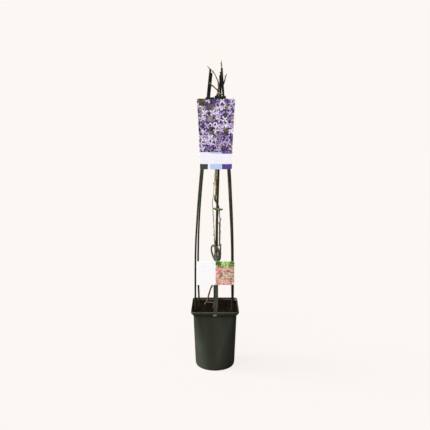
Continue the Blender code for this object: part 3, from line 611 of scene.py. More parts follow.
class LabelSettings(bpy.types.PropertyGroup):
    sheet: colour("Sheet", "Bare plastic of the card", "#fdfcfc")
    leaf: colour("Leaf", "Foliage of the printed half", "#3c6a1c")
    lime: colour("Lime", "Lit foliage of the printed half", "#b4de7c")
    rose: colour("Rose", "Strongest flower colour", "#dc5f76")
    pink: colour("Pink", "Palest flower colour", "#fac4d0")


class StakeSettings(bpy.types.PropertyGroup):
    plastic: colour("Plastic", "Grey-green moulded strip", "#3b3d32")
    edge: length("Edge", "Rounding of the strip's edges", 0.00025)


class PlantSettings(bpy.types.PropertyGroup):
    # The stain colour also paints shade on a shoot by the top clip
    stain_and_shade: colour("Stained bark", "Roots and foot of the stem, stained by the soil", "#3b2c1b")
    brown: colour("Brown bark", "Lower stem and brown shoots", "#594529")
    old: colour("Old bark", "The thick twisted stem", "#4b4d36")
    grey: colour("Grey bark", "Weathered side of the twisted stem", "#5f665b")
    rust: colour("Rusty bark", "Young wood near the joints", "#785530")
    golden: colour("Golden bark", "The thicker shoot", "#86733a")
    olive: colour("Olive bark", "The upper shoots", "#75734c")
    pale: colour("Pale bark", "The thin pale shoots", "#b2a98e")
    bud: colour("Bud scales", "Scales of the winter buds", "#6f5f40")
    ring_step: length("Ring spacing", "Distance between the rings of a stem", 0.0013)


class TieSettings(bpy.types.PropertyGroup):
    tube: colour("Tube", "Soft green tubing", "#5f7c3b")
    shade: colour("Shade", "The creases of the tubing", "#37491f")


class ClimberSettings(bpy.types.PropertyGroup):
    stage: PointerProperty(type=StageSettings)
    pot: PointerProperty(type=PotSettings)
    soil: PointerProperty(type=SoilSettings)
    canes: PointerProperty(type=CaneSettings)
    clips: PointerProperty(type=ClipSettings)
    card: PointerProperty(type=CardSettings)
    label: PointerProperty(type=LabelSettings)
    stake: PointerProperty(type=StakeSettings)
    plant: PointerProperty(type=PlantSettings)
    ties: PointerProperty(type=TieSettings)


# Paths, as in the part


def through(points, step):
    """Points about one step apart on a smooth curve through the given points, of any dimension."""
    given = [Vector(point) for point in points]
    ends = [2 * given[0] - given[1]] + given + [2 * given[-1] - given[-2]]
    path = []
    for before, start, end, after in zip(ends, ends[1:], ends[2:], ends[3:]):
        count = max(1, round((end - start).length / step))
        for index in range(count):
            t = index / count
            bend = (
                2 * start
                + (end - before) * t
                + (2 * before - 5 * start + 4 * end - after) * t**2
                + (3 * start - before - 3 * end + after) * t**3
            )
            path.append(bend / 2)
    path.append(given[-1])
    return path


def axis_at(path, z):
    """The point of a rising path at one height."""
    heights = [place[2] for place in path]
    index = min(max(bisect.bisect(heights, z), 1), len(path) - 1)
    low = path[index - 1]
    high = path[index]
    share = min(max((z - low[2]) / (high[2] - low[2]), 0.0), 1.0)
    return low.lerp(high, share)


def cane_axis(name, step):
    """The cane's axis as points of (x, y, z, radius), with an even taper from foot to tip."""
    (foot, tip), _, points = CANES[name]
    low = points[0][2]
    high = points[-1][2]
    axis = []
    for x, y, z in through(points, step):
        share = (z - low) / (high - low)
        axis.append(Vector((x, y, z, foot + (tip - foot) * share)))
    return axis


def held_off(path, axes):
    """Moves the points of a strand outwards where they come too near a cane."""
    cleared = []
    for place in path:
        for axis in axes:
            if not axis[0][2] < place[2] < axis[-1][2] + STEM_GAP:
                continue
            centre = axis_at(axis, place[2])
            away = Vector((place[0] - centre[0], place[1] - centre[1]))
            needed = centre[3] + place[3] + STEM_GAP
            if away.length < needed:
                away = away.normalized() * needed
                place = Vector((centre[0] + away[0], centre[1] + away[1], place[2], place[3]))
        cleared.append(place)
    return cleared


def strand_path(name, step):
    """The strand's smooth path, held off every cane."""
    axes = [cane_axis(cane, AXIS_STEP) for cane in CANES]
    return held_off(through(STRANDS[name], step), axes)


def squared(share, half, corner):
    """The point at a share of the way round a square with round corners."""
    corner = min(corner, half)
    side = half - corner
    bow = corner * math.pi / 2
    quarter, along = divmod(share * 4, 1.0)
    distance = along * (2 * side + bow)
    if distance <= side:
        x, y = half, distance
    elif distance < side + bow:
        angle = (distance - side) / corner
        x = side + corner * math.cos(angle)
        y = side + corner * math.sin(angle)
    else:
        x, y = 2 * side + bow - distance, half
    for _ in range(int(quarter) % 4):
        x, y = -y, x
    return x, y


def eased(corners, steps=4):
    """A profile of (half, corner, height, cut) with each corner rounded within one cut of it."""
    profile = []
    for index, (half, corner, height, cut) in enumerate(corners):
        here = Vector((half, corner, height))
        if not cut:
            profile.append(here)
            continue
        sides = []
        for other in (corners[index - 1], corners[index + 1]):
            way = Vector(other[:3]) - here
            reach = math.hypot(way[0], way[2])
            sides.append(here + way * min(cut / reach, 0.45))
        for step in range(steps + 1):
            t = step / steps
            profile.append(sides[0] * (1 - t) ** 2 + here * 2 * t * (1 - t) + sides[1] * t**2)
    return profile


def dense(profile, step):
    """The profile with points added so that none are further apart than one step."""
    filled = [profile[0]]
    for before, here in zip(profile, profile[1:]):
        count = max(1, math.ceil(math.hypot(here[0] - before[0], here[2] - before[2]) / step))
        filled += [before.lerp(here, (index + 1) / count) for index in range(count)]
    return filled


# Mesh making


def only(kind, items):
    """The verts, edges or faces among what an operator returned."""
    return [item for item in items if isinstance(item, kind)]


def drawn_out(bm, faces):
    """Extrudes the faces, leaving none behind, and gives the new geometry."""
    edges = dict.fromkeys(edge for face in faces for edge in face.edges)
    return bmesh.ops.extrude_face_region(bm, geom=[*faces, *edges])["geom"]


def lofted(spokes, rings, place, grain=None):
    """Extrudes a many-sided face through rings; place and grain give each point's values."""
    bm = bmesh.new()
    spoke = bm.verts.layers.int.new("spoke")
    run = bm.verts.layers.float_vector.new("grain") if grain else None
    made = bmesh.ops.create_circle(bm, cap_ends=True, segments=spokes, radius=1.0)
    for index, vert in enumerate(made["verts"]):
        vert[spoke] = index
    caps = [made["verts"][0].link_faces[0]]
    for step, ring in enumerate(rings):
        if step:
            caps[1:] = only(bmesh.types.BMFace, drawn_out(bm, caps[-1:]))
        for vert in caps[-1].verts:
            share = vert[spoke] / spokes
            vert.co = place(share, ring)
            if grain:
                vert[run] = grain(share, ring)
    bm.verts.layers.int.remove(spoke)
    for face in bm.faces:
        face.smooth = True
    return bm, caps


def along(path, start=0.0):
    """Each point of a path with two directions square to it, its radius, and the run so far."""
    points = [Vector(place[:3]) for place in path]
    frames = []
    across = None
    run = start
    for index, point in enumerate(points):
        ahead = (points[min(index + 1, len(points) - 1)] - points[max(index - 1, 0)]).normalized()
        if across is None:
            across = ahead.orthogonal()
        else:
            run += (point - points[index - 1]).length
        across = (across - ahead * across.dot(ahead)).normalized()
        frames.append((point, across, ahead.cross(across), path[index][3], run))
    return frames


def swept(path, sides, relief=None, start=0.0):
    """A closed round stem along (x, y, z, radius) points; relief changes its radius."""
    def out(share, ring):
        _, across, up, _, _ = ring
        turn = 2 * math.pi * share
        return across * math.cos(turn) + up * math.sin(turn)

    def place(share, ring):
        point, _, _, radius, run = ring
        reach = radius * (1 + relief(share, run)) if relief else radius
        return point + out(share, ring) * reach

    def grain(share, ring):
        turn = 2 * math.pi * share
        return Vector((ring[3] * math.cos(turn), ring[3] * math.sin(turn), ring[4]))

    return lofted(sides, along(path, start), place, grain)


def hollowed(bm, cap, wall, depth, slot):
    """Sinks a hole into the end of a tube, leaving a wall round it."""
    bmesh.ops.recalc_face_normals(bm, faces=bm.faces)
    inner = cap
    way = -cap.normal.copy()
    rim = bmesh.ops.inset_region(bm, faces=[inner], thickness=wall, use_even_offset=True)["faces"]
    grown = drawn_out(bm, [inner])
    bmesh.ops.translate(bm, vec=way * depth, verts=only(bmesh.types.BMVert, grown))
    bottom = only(bmesh.types.BMFace, grown)
    for face in rim + bottom + [face for vert in bottom[0].verts for face in vert.link_faces]:
        face.material_index = slot


def gathered(parts):
    """One bmesh of several, each with the material slot of its faces."""
    whole = bmesh.new()
    for part, slot in parts:
        bmesh.ops.recalc_face_normals(part, faces=part.faces)
        if slot is not None:
            for face in part.faces:
                face.material_index = slot
        mesh = bpy.data.meshes.new("part")
        part.to_mesh(mesh)
        part.free()
        whole.from_mesh(mesh)
        bpy.data.meshes.remove(mesh)
    return whole


def placed(name, bm, materials, sharp=40.0):
    """A finished object of the bmesh."""
    mesh = bpy.data.meshes.new(name)
    bm.to_mesh(mesh)
    bm.free()
    for material in materials:
        mesh.materials.append(material)
    mesh.shade_smooth()
    mesh.set_sharp_from_angle(angle=math.radians(sharp))
    piece = bpy.data.objects.new(name, mesh)
    bpy.context.scene.collection.objects.link(piece)
    return piece


def dressed(piece, node_name):
    """The piece takes the place of its solid and rides on the body."""
    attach(piece, BODY)
    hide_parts(node_name)
    return piece


def combined(piece, others, operation, sharp=30.0):
    """Joins or cuts the others from the piece with one Boolean, applies it, and removes them."""
    group = bpy.data.collections.new(piece.name + "_tools")
    for other in others:
        bpy.context.scene.collection.objects.unlink(other)
        group.objects.link(other)
    boolean = piece.modifiers.new("Boolean", "BOOLEAN")
    boolean.operation = operation
    boolean.solver = "EXACT"
    boolean.operand_type = "COLLECTION"
    boolean.collection = group
    bpy.context.scene.collection.children.link(group)
    bpy.context.view_layer.update()
    graph = bpy.context.evaluated_depsgraph_get()
    mesh = bpy.data.meshes.new_from_object(piece.evaluated_get(graph))
    piece.modifiers.clear()
    piece.data = mesh
    mesh.shade_smooth()
    mesh.set_sharp_from_angle(angle=math.radians(sharp))
    for other in others:
        bpy.data.objects.remove(other)
    bpy.data.collections.remove(group)
    return piece


# Materials


def fed(target, inputs):
    """Fills a node's inputs, or links them to a socket or to the first output of a node."""
    for key, value in inputs.items():
        if isinstance(value, bpy.types.Node):
            value = next(socket for socket in value.outputs if socket.enabled)
        if isinstance(value, bpy.types.NodeSocket):
            target.id_data.links.new(value, target.inputs[key])
        else:
            target.inputs[key].default_value = value


def node(tree, kind, inputs=None, stops=None, **settings):
    """Adds one shader node with its settings and its ramp's stops, and feeds its inputs."""
    added = tree.nodes.new("ShaderNode" + kind)
    for key, value in settings.items():
        setattr(added, key, value)
    if stops:
        ramp = added.color_ramp.elements
        for element, (place, tone) in zip((ramp[0], ramp[-1]), (stops[0], stops[-1])):
            element.position = place
            element.color = tone
        for place, tone in stops[1:-1]:
            ramp.new(place).color = tone
    fed(added, inputs or {})
    return added


def material(name):
    """A material with its node tree and its Principled shader."""
    made = bpy.data.materials.new(name)
    made.use_nodes = True
    return made, made.node_tree, made.node_tree.nodes["Principled BSDF"]


def moulded_polypropylene(look):
    """Recycled black-green polypropylene, injection moulded: satin, with drifts of dull bloom, dried soil,
    and a paler lower left that is painted light from the side.
    """
    made, tree, shader = material("moulded_polypropylene")
    place = node(tree, "TexCoord").outputs["Object"]
    axes = node(tree, "SeparateXYZ", {0: place}).outputs
    # Haze in soft drifts about 45 mm wide
    wide = node(tree, "VectorMath", {0: place, 1: (1.0, 1.0, 0.4)}, operation="MULTIPLY")
    drift = node(tree, "TexNoise", {"Vector": wide, "Scale": 1 / 0.045, "Detail": 2.0})
    # Painted light: a paler, greener patch low on the left of the wall, where the side light falls
    low = node(tree, "MapRange", {0: axes[2], 1: 0.130, 2: 0.020, 4: 0.28})
    left = node(tree, "MapRange", {0: axes[0], 1: 0.020, 2: -0.050})
    painted_side_light = node(tree, "Math", {0: low, 1: left}, operation="MULTIPLY")
    drift_and_painted_light = node(tree, "Math", {0: drift, 1: painted_side_light}, operation="ADD")
    haze_and_painted_light = node(tree, "MapRange", {0: drift_and_painted_light, 1: 0.40, 2: 0.85}, interpolation_type="SMOOTHSTEP")
    base = node(tree, "Mix", {0: haze_and_painted_light, 6: look.plastic, 7: look.pale}, data_type="RGBA")
    # Dried soil: speckles of 3 mm, thick just under the rim and round the foot
    soiled = {"Vector": place, "Scale": 1 / 0.003, "Detail": 4.0, "Roughness": 0.7}
    speckle = node(tree, "TexNoise", soiled)
    foot = node(tree, "MapRange", {0: axes[2], 1: 0.030, 2: 0.0, 4: 0.24})
    rim = node(tree, "MapRange", {0: axes[2], 1: 0.174, 2: 0.1842, 4: 0.30})
    more = node(tree, "Math", {0: foot, 1: rim}, operation="MAXIMUM")
    dusted = node(tree, "Math", {0: speckle, 1: more}, operation="ADD")
    dust = node(tree, "MapRange", {0: dusted, 1: 0.66, 2: 0.86, 4: 0.7})
    tinted = node(tree, "Mix", {0: dust, 6: base, 7: look.dust}, data_type="RGBA")
    rough = node(tree, "MapRange", {0: dust, 3: look.roughness, 4: 0.85})
    # Flow lines, and spark-eroded mould texture, drawn at 0.5 mm so that it shows
    tall = node(tree, "VectorMath", {0: place, 1: (1.0, 1.0, 0.05)}, operation="MULTIPLY")
    flow = node(tree, "TexNoise", {"Vector": tall, "Scale": 1 / 0.0025, "Detail": 1.0})
    grit = node(tree, "TexNoise", {"Vector": place, "Scale": 1 / 0.0005, "Detail": 2.0})
    lower = node(tree, "Bump", {"Height": flow, "Strength": 0.06, "Distance": 0.0004})
    pitted = {"Height": grit, "Strength": 0.25, "Distance": 0.0001, "Normal": lower}
    bump = node(tree, "Bump", pitted)
    fed(shader, {"Base Color": tinted, "Roughness": rough, "Specular IOR Level": 0.48, "Normal": bump})
    return made


def painted_highlight_polypropylene(look):
    """The same plastic on the small pad, painted pale as a highlight, and smoother."""
    made, tree, shader = material("painted_highlight_polypropylene")
    place = node(tree, "TexCoord").outputs["Object"]
    pad_noise = node(tree, "TexNoise", {"Vector": place, "Scale": 1 / 0.002, "Detail": 4.0})
    # Painted highlight: the pad is drawn pale in patches
    painted_highlight = node(tree, "MapRange", {0: pad_noise, 1: 0.25, 2: 0.50})
    tone = node(tree, "Mix", {0: painted_highlight, 6: look.pale, 7: look.pad}, data_type="RGBA")
    rough = node(tree, "MapRange", {0: pad_noise, 3: 0.30, 4: 0.55})
    fed(shader, {"Base Color": tone, "Roughness": rough})
    return made


def peat(look):
    """Peat compost: matt, near black when damp, with paler dry crumb and fibre."""
    made, tree, shader = material("peat_compost")
    place = node(tree, "TexCoord").outputs["Object"]
    tone = node(tree, "Attribute", attribute_name="tone", attribute_type="GEOMETRY").outputs["Fac"]
    # Crumb of about 1.5 mm, in damp and dry patches of about 20 mm
    crumbly = {"Vector": place, "Scale": 1 / 0.0015, "Detail": 6.0, "Roughness": 0.7}
    crumb = node(tree, "TexNoise", crumbly)
    patch = node(tree, "TexNoise", {"Vector": place, "Scale": 1 / 0.020, "Detail": 2.0})
    both = node(tree, "Math", {0: crumb, 1: patch}, operation="ADD")
    lifted = node(tree, "Math", {0: tone, 1: 0.9, 2: both}, operation="MULTIPLY_ADD")
    dry = node(tree, "MapRange", {0: lifted, 1: 0.7, 2: 2.0})
    stops = ((0.0, look.dark), (0.38, look.brown), (1.0, look.bark))
    ramp = node(tree, "ValToRGB", {0: dry}, stops=stops)
    bump = node(tree, "Bump", {"Height": crumb, "Strength": 0.9, "Distance": 0.0008})
    fed(shader, {"Base Color": ramp, "Roughness": 0.95, "Specular IOR Level": 0.03, "Normal": bump})
    return made


def dyed_bamboo(look):
    """Bamboo cane soaked in green dye: waxy skin with lengthwise fibre and thin dye here and there."""
    made, tree, shader = material("dyed_bamboo")
    place = node(tree, "TexCoord").outputs["Object"]
    height = node(tree, "SeparateXYZ", {0: place}).outputs[2]
    grain = node(tree, "Attribute", attribute_name="grain", attribute_type="GEOMETRY").outputs["Vector"]
    # Fibre: streaks 0.7 mm wide and about 40 mm long; dye patches about 25 mm long
    long_grain = node(tree, "VectorMath", {0: grain, 1: (1.0, 1.0, 0.018)}, operation="MULTIPLY")
    fibre = node(tree, "TexNoise", {"Vector": long_grain, "Scale": 1 / 0.0007, "Detail": 3.0})
    short_grain = node(tree, "VectorMath", {0: grain, 1: (1.0, 1.0, 0.12)}, operation="MULTIPLY")
    patch = node(tree, "TexNoise", {"Vector": short_grain, "Scale": 1 / 0.003, "Detail": 2.0})
    both = node(tree, "Math", {0: fibre, 1: patch}, operation="ADD")
    worn = node(tree, "MapRange", {0: both, 1: 0.78, 2: 1.35}, interpolation_type="SMOOTHSTEP")
    skin = node(tree, "Mix", {0: worn, 6: look.dye, 7: look.worn}, data_type="RGBA")
    # Painted shade: the upper ends are drawn near black, and the canes are drawn darker towards the foot
    shaded_top = {0: height, 1: 0.785, 2: 0.815}
    darker_foot = {0: height, 1: 0.44, 2: 0.30, 4: 0.7}
    upper = node(tree, "MapRange", shaded_top, interpolation_type="SMOOTHSTEP")
    lower = node(tree, "MapRange", darker_foot, interpolation_type="SMOOTHSTEP")
    shaded_top_and_dark_foot = node(tree, "Math", {0: upper, 1: lower}, operation="MAXIMUM")
    tone = node(tree, "Mix", {0: shaded_top_and_dark_foot, 6: skin, 7: look.tip}, data_type="RGBA")
    rough = node(tree, "MapRange", {0: both, 1: 0.6, 2: 1.4, 3: 0.34, 4: 0.55})
    bump = node(tree, "Bump", {"Height": fibre, "Strength": 0.45, "Distance": 0.00012})
    fed(shader, {"Base Color": tone, "Roughness": rough, "Specular IOR Level": 0.14, "Normal": bump})
    return made


def cut_bamboo(look):
    """The sawn end of a cane: matt fibre with dark pores."""
    made, tree, shader = material("cut_bamboo")
    place = node(tree, "TexCoord").outputs["Object"]
    pores = node(tree, "TexVoronoi", {"Vector": place, "Scale": 1 / 0.0004}).outputs["Distance"]
    tone = node(tree, "MapRange", {0: pores, 1: 0.1, 2: 0.5})
    mixed = node(tree, "Mix", {0: tone, 6: look.tip, 7: look.cut}, data_type="RGBA")
    bump = node(tree, "Bump", {"Height": tone, "Strength": 0.5, "Distance": 0.0002})
    fed(shader, {"Base Color": mixed, "Roughness": 0.8, "Normal": bump})
    return made


def moulded_nylon(look):
    """Black nylon, injection moulded: satin with a fine spark texture and handling marks."""
    made, tree, shader = material("moulded_nylon")
    place = node(tree, "TexCoord").outputs["Object"]
    mark = node(tree, "TexNoise", {"Vector": place, "Scale": 1 / 0.004, "Detail": 4.0})
    tone = node(tree, "Mix", {0: mark, 6: look.plastic, 7: linear("#161713")}, data_type="RGBA")
    rough = node(tree, "MapRange", {0: mark, 1: 0.3, 2: 0.7, 3: 0.32, 4: 0.52})
    grit = node(tree, "TexNoise", {"Vector": place, "Scale": 1 / 0.0004, "Detail": 2.0})
    bump = node(tree, "Bump", {"Height": grit, "Strength": 0.3, "Distance": 0.0001})
    fed(shader, {"Base Color": tone, "Roughness": rough, "Specular IOR Level": 0.20, "Normal": bump})
    return made


def moulded_styrene(look):
    """Grey-green styrene strip: dull, with flow streaks along it and splashed soil low down."""
    made, tree, shader = material("moulded_styrene")
    place = node(tree, "TexCoord").outputs["Object"]
    height = node(tree, "SeparateXYZ", {0: place}).outputs[2]
    tall = node(tree, "VectorMath", {0: place, 1: (1.0, 1.0, 0.06)}, operation="MULTIPLY")
    streak = node(tree, "TexNoise", {"Vector": tall, "Scale": 1 / 0.0016, "Detail": 3.0})
    skin = node(tree, "Mix", {0: streak, 6: linear("#34362b"), 7: look.plastic}, data_type="RGBA")
    splashed = {"Vector": place, "Scale": 1 / 0.0018, "Detail": 4.0, "Roughness": 0.7}
    speckle = node(tree, "TexNoise", splashed)
    low = node(tree, "MapRange", {0: height, 1: 0.215, 2: 0.178, 4: 0.3})
    wet = node(tree, "Math", {0: speckle, 1: low}, operation="ADD")
    soil = node(tree, "MapRange", {0: wet, 1: 0.68, 2: 0.82})
    tone = node(tree, "Mix", {0: soil, 6: skin, 7: linear("#211a10")}, data_type="RGBA")
    rough = node(tree, "MapRange", {0: streak, 1: 0.3, 2: 0.7, 3: 0.42, 4: 0.60})
    bump = node(tree, "Bump", {"Height": streak, "Strength": 0.25, "Distance": 0.0002})
    fed(shader, {"Base Color": tone, "Roughness": rough, "Normal": bump})
    return made


def bark():
    """Bark of a climbing stem: long fibres in the stem's own tint, silvery and furrowed where thick."""
    made, tree, shader = material("climber_bark")
    grain = node(tree, "Attribute", attribute_name="grain", attribute_type="GEOMETRY").outputs["Vector"]
    tint = node(tree, "Attribute", attribute_name="tint", attribute_type="GEOMETRY")
    # The grain's first two values lie on a circle of the stem's own radius, in metres
    across = node(tree, "VectorMath", {0: grain, 1: (1.0, 1.0, 0.0)}, operation="MULTIPLY")
    radius = node(tree, "VectorMath", {0: across}, operation="LENGTH").outputs["Value"]
    thick = node(tree, "MapRange", {0: radius, 1: 0.0024, 2: 0.0036})
    # Fibres 0.6 mm wide and about 9 mm long, patches 6 mm long
    stretched = node(tree, "VectorMath", {0: grain, 1: (1.0, 1.0, 0.07)}, operation="MULTIPLY")
    fibre = node(tree, "TexNoise", {"Vector": stretched, "Scale": 1 / 0.0006, "Detail": 4.0})
    broad = node(tree, "TexNoise", {"Vector": grain, "Scale": 1 / 0.006, "Detail": 4.0})
    dark = node(tree, "VectorMath", {0: tint, "Scale": 0.42}, operation="SCALE")
    light = node(tree, "VectorMath", {0: tint, "Scale": 1.45}, operation="SCALE")
    shade = node(tree, "MapRange", {0: fibre, 1: 0.36, 2: 0.58})
    base = node(tree, "Mix", {0: shade, 6: dark, 7: tint}, data_type="RGBA")
    lit = node(tree, "MapRange", {0: broad, 1: 0.46, 2: 0.70, 4: 0.8})
    worn = node(tree, "Mix", {0: lit, 6: base, 7: light}, data_type="RGBA")
    # Thin silvery skin flakes along the thick stem
    flake = node(tree, "Math", {0: fibre, 1: broad}, operation="ADD")
    flaked = node(tree, "MapRange", {0: flake, 1: 1.02, 2: 1.22, 4: 0.75})
    silver = node(tree, "Math", {0: flaked, 1: thick}, operation="MULTIPLY")
    skin = node(tree, "Mix", {0: silver, 6: worn, 7: linear("#9d9e90")}, data_type="RGBA")
    # Corky spots about 0.5 mm across, a few to each square centimetre
    cork = node(tree, "TexVoronoi", {"Vector": grain, "Scale": 1 / 0.0034}).outputs["Distance"]
    spot = node(tree, "MapRange", {0: cork, 1: 0.11, 2: 0.06, 4: 0.45})
    spotted = node(tree, "Mix", {0: spot, 6: skin, 7: light}, data_type="RGBA")
    furrow = node(tree, "MapRange", {0: thick, 3: 0.4, 4: 0.95})
    lower = node(tree, "Bump", {"Height": fibre, "Strength": furrow, "Distance": 0.0004})
    raised = {"Height": spot, "Strength": 0.35, "Distance": 0.0002, "Normal": lower}
    bump = node(tree, "Bump", raised)
    fed(shader, {"Base Color": spotted, "Roughness": 0.72, "Specular IOR Level": 0.25, "Normal": bump})
    return made


def soft_vinyl(look):
    """Soft green vinyl tubing: waxy, and dull in its creases."""
    made, tree, shader = material("soft_vinyl_tubing")
    grain = node(tree, "Attribute", attribute_name="grain", attribute_type="GEOMETRY").outputs["Vector"]
    cloud = node(tree, "TexNoise", {"Vector": grain, "Scale": 1 / 0.0025, "Detail": 3.0})
    shade = node(tree, "MapRange", {0: cloud, 1: 0.35, 2: 0.60})
    tone = node(tree, "Mix", {0: shade, 6: look.shade, 7: look.tube}, data_type="RGBA")
    rough = node(tree, "MapRange", {0: cloud, 1: 0.3, 2: 0.7, 3: 0.34, 4: 0.50})
    bump = node(tree, "Bump", {"Height": cloud, "Strength": 0.3, "Distance": 0.0003})
    fed(shader, {"Base Color": tone, "Roughness": rough, "Normal": bump})
    return made


def bare_sheet(name, tone, shadow):
    """The unprinted side and cut edge of a plastic card: white, with a faint grey cloud."""
    made, tree, shader = material(name)
    place = node(tree, "TexCoord").outputs["Object"]
    cloud = node(tree, "TexNoise", {"Vector": place, "Scale": 1 / 0.018, "Detail": 4.0})
    mixed = node(tree, "Mix", {0: cloud, 6: shadow, 7: tone}, data_type="RGBA")
    rough = node(tree, "MapRange", {0: cloud, 3: 0.30, 4: 0.50})
    fed(shader, {"Base Color": mixed, "Roughness": rough})
    return made


def scattered_flowers(tree, flat, ground, shadow, layers):
    """Layers of small open flowers over a ground colour, some of them in a shadow colour.

    Each layer is the cell size, the number of petals, the share of the cells that flower, an
    offset, and the colours of the throat, the petal and its rim.
    """
    tint = ground
    for cell, petals, share, offset, throat, petal, rim in layers:
        moved = node(tree, "VectorMath", {0: flat, 1: offset}, operation="ADD")
        scattered = {"Vector": moved, "Scale": 1 / cell, "Randomness": 0.8}
        cells = node(tree, "TexVoronoi", scattered, voronoi_dimensions="2D").outputs
        local = node(tree, "VectorMath", {0: moved, 1: cells["Position"]}, operation="SUBTRACT")
        axes = node(tree, "SeparateXYZ", {0: local}).outputs
        draw = node(tree, "SeparateColor", {0: cells["Color"]}).outputs
        # The petals: how far the flower reaches each way from its throat
        angle = node(tree, "Math", {0: axes[1], 1: axes[0]}, operation="ARCTAN2")
        turned = node(tree, "Math", {0: draw[0], 1: 2 * math.pi, 2: angle}, operation="MULTIPLY_ADD")
        lobes = node(tree, "Math", {0: turned, 1: petals}, operation="MULTIPLY")
        wave = node(tree, "Math", {0: lobes}, operation="COSINE")
        petal_share = node(tree, "MapRange", {0: wave, 1: -1.0, 2: 1.0})
        point = node(tree, "Math", {0: petal_share, 1: 1.6}, operation="POWER")
        edge = node(tree, "MapRange", {0: point, 3: 0.10 * cell, 4: 0.66 * cell})
        reach = node(tree, "VectorMath", {0: local}, operation="LENGTH").outputs["Value"]
        ratio = node(tree, "Math", {0: reach, 1: edge}, operation="DIVIDE")
        inside = node(tree, "MapRange", {0: ratio, 1: 1.04, 2: 0.96})
        # Which cells flower, more of them in some drifts than in others
        drifting = {"Vector": cells["Position"], "Scale": 2 / (9 * cell), "Detail": 1.0}
        drift = node(tree, "TexNoise", drifting)
        thinned = node(tree, "MapRange", {0: drift, 1: 0.34, 2: 0.60, 3: 0.35 * share, 4: 1.25 * share})
        flowering = node(tree, "Math", {0: draw[1], 1: thinned}, operation="LESS_THAN")
        mask = node(tree, "Math", {0: inside, 1: flowering}, operation="MULTIPLY")
        stops = ((0.0, throat), (0.30, petal), (0.72, petal), (1.0, rim))
        ink = node(tree, "ValToRGB", {0: ratio}, stops=stops)
        # Some flowers stand in the shade of others, which deepens their own colour
        deeper = {0: draw[2], 6: ink, 7: shadow}
        shaded = node(tree, "Mix", deeper, data_type="RGBA", blend_type="MULTIPLY")
        tint = node(tree, "Mix", {0: mask, 6: tint, 7: shaded}, data_type="RGBA")
    return tint


def leafy_ground(tree, flat, dark, light, leaf_size):
    """Overlapping leaves in two greens, as a ground for flowers."""
    tilted = node(tree, "Mapping", {0: flat, 2: (0.0, 0.0, 0.6), 3: (1.0, 0.45, 1.0)})
    packed = {"Vector": tilted, "Scale": 1 / leaf_size}
    leaves = node(tree, "TexVoronoi", packed, voronoi_dimensions="2D").outputs
    draw = node(tree, "SeparateColor", {0: leaves["Color"]}).outputs
    ribs = node(tree, "MapRange", {0: leaves["Distance"], 1: 0.0, 2: 0.6, 3: 0.5, 4: 0.0})
    drift = node(tree, "TexNoise", {"Vector": flat, "Scale": 1 / 0.028, "Detail": 1.0})
    lit = node(tree, "MapRange", {0: drift, 1: 0.42, 2: 0.60, 4: 0.95})
    share = node(tree, "Math", {0: draw[0], 1: lit, 2: ribs}, operation="MULTIPLY_ADD")
    share = node(tree, "Math", {0: share, 1: lit}, operation="MULTIPLY")
    return node(tree, "Mix", {0: share, 6: dark, 7: light}, data_type="RGBA")


def boxed(tree, axes, left, right, low, high):
    """One inside an upright rectangle of the card and nought outside it."""
    inside = 1.0
    for axis, near, far in ((0, left, right), (2, low, high)):
        past = node(tree, "Math", {0: axes[axis], 1: near}, operation="GREATER_THAN")
        short = node(tree, "Math", {0: axes[axis], 1: far}, operation="LESS_THAN")
        between = node(tree, "Math", {0: past, 1: short}, operation="MULTIPLY")
        inside = node(tree, "Math", {0: inside, 1: between}, operation="MULTIPLY")
    return inside


def glossy_print(name):
    """Printed plastic, glossy with faint smears, its coordinates, and the card's own two axes."""
    made, tree, shader = material(name)
    place = node(tree, "TexCoord").outputs["Object"]
    axes = node(tree, "SeparateXYZ", {0: place}).outputs
    flat = node(tree, "CombineXYZ", {0: axes[0], 1: axes[2]})
    fed(shader, {"Specular IOR Level": 0.35})
    return made, tree, shader, place, axes, flat


def printed_card(look):
    """Glossy print on plastic: small open flowers over leaves, a bare band and plain blocks below."""
    made, tree, shader, place, axes, flat = glossy_print("printed_polystyrene")
    ground = leafy_ground(tree, flat, look.leaf, look.lime, 0.008)
    cream = linear("#e6dcb0")
    deep = linear("#2c1f4c")
    layers = (
        (0.0150, 5.0, 0.80, (0.013, 0.004, 0.0), deep, deep, look.violet),
        (0.0160, 4.0, 0.62, (0.031, 0.022, 0.0), look.violet, look.lilac, look.white),
        (0.0140, 5.0, 0.55, (0.057, 0.041, 0.0), deep, look.violet, look.lilac),
        (0.0170, 4.0, 0.55, (0.083, 0.067, 0.0), look.violet, look.white, look.white),
        (0.0130, 5.0, 0.34, (0.117, 0.093, 0.0), cream, look.white, look.lilac),
    )
    picture = scattered_flowers(tree, flat, ground, linear("#c4b0dc"), layers)
    # The sheet's inks: left, right, lower and upper edge of each in the card's axes
    tint = look.sheet
    sheets = (
        (picture, -1.0, 1.0, 0.6416, 1.0),
        (look.sky, -0.0143, 0.0189, 0.6376, 0.6416),
        (look.violet, 0.0198, 1.0, 0.6376, 0.6416),
        (look.slate, -1.0, -0.0205, 0.0, 0.6083),
        (look.sky, -0.0143, 0.0189, 0.0, 0.6083),
        (look.violet, 0.0198, 1.0, 0.0, 0.6083),
    )
    for ink, left, right, low, high in sheets:
        mask = boxed(tree, axes, left, right, low, high)
        tint = node(tree, "Mix", {0: mask, 6: tint, 7: ink}, data_type="RGBA")
    smear = node(tree, "TexNoise", {"Vector": place, "Scale": 1 / 0.012, "Detail": 3.0})
    rough = node(tree, "MapRange", {0: smear, 1: 0.3, 2: 0.7, 3: 0.22, 4: 0.38})
    fed(shader, {"Base Color": tint, "Roughness": rough})
    return made


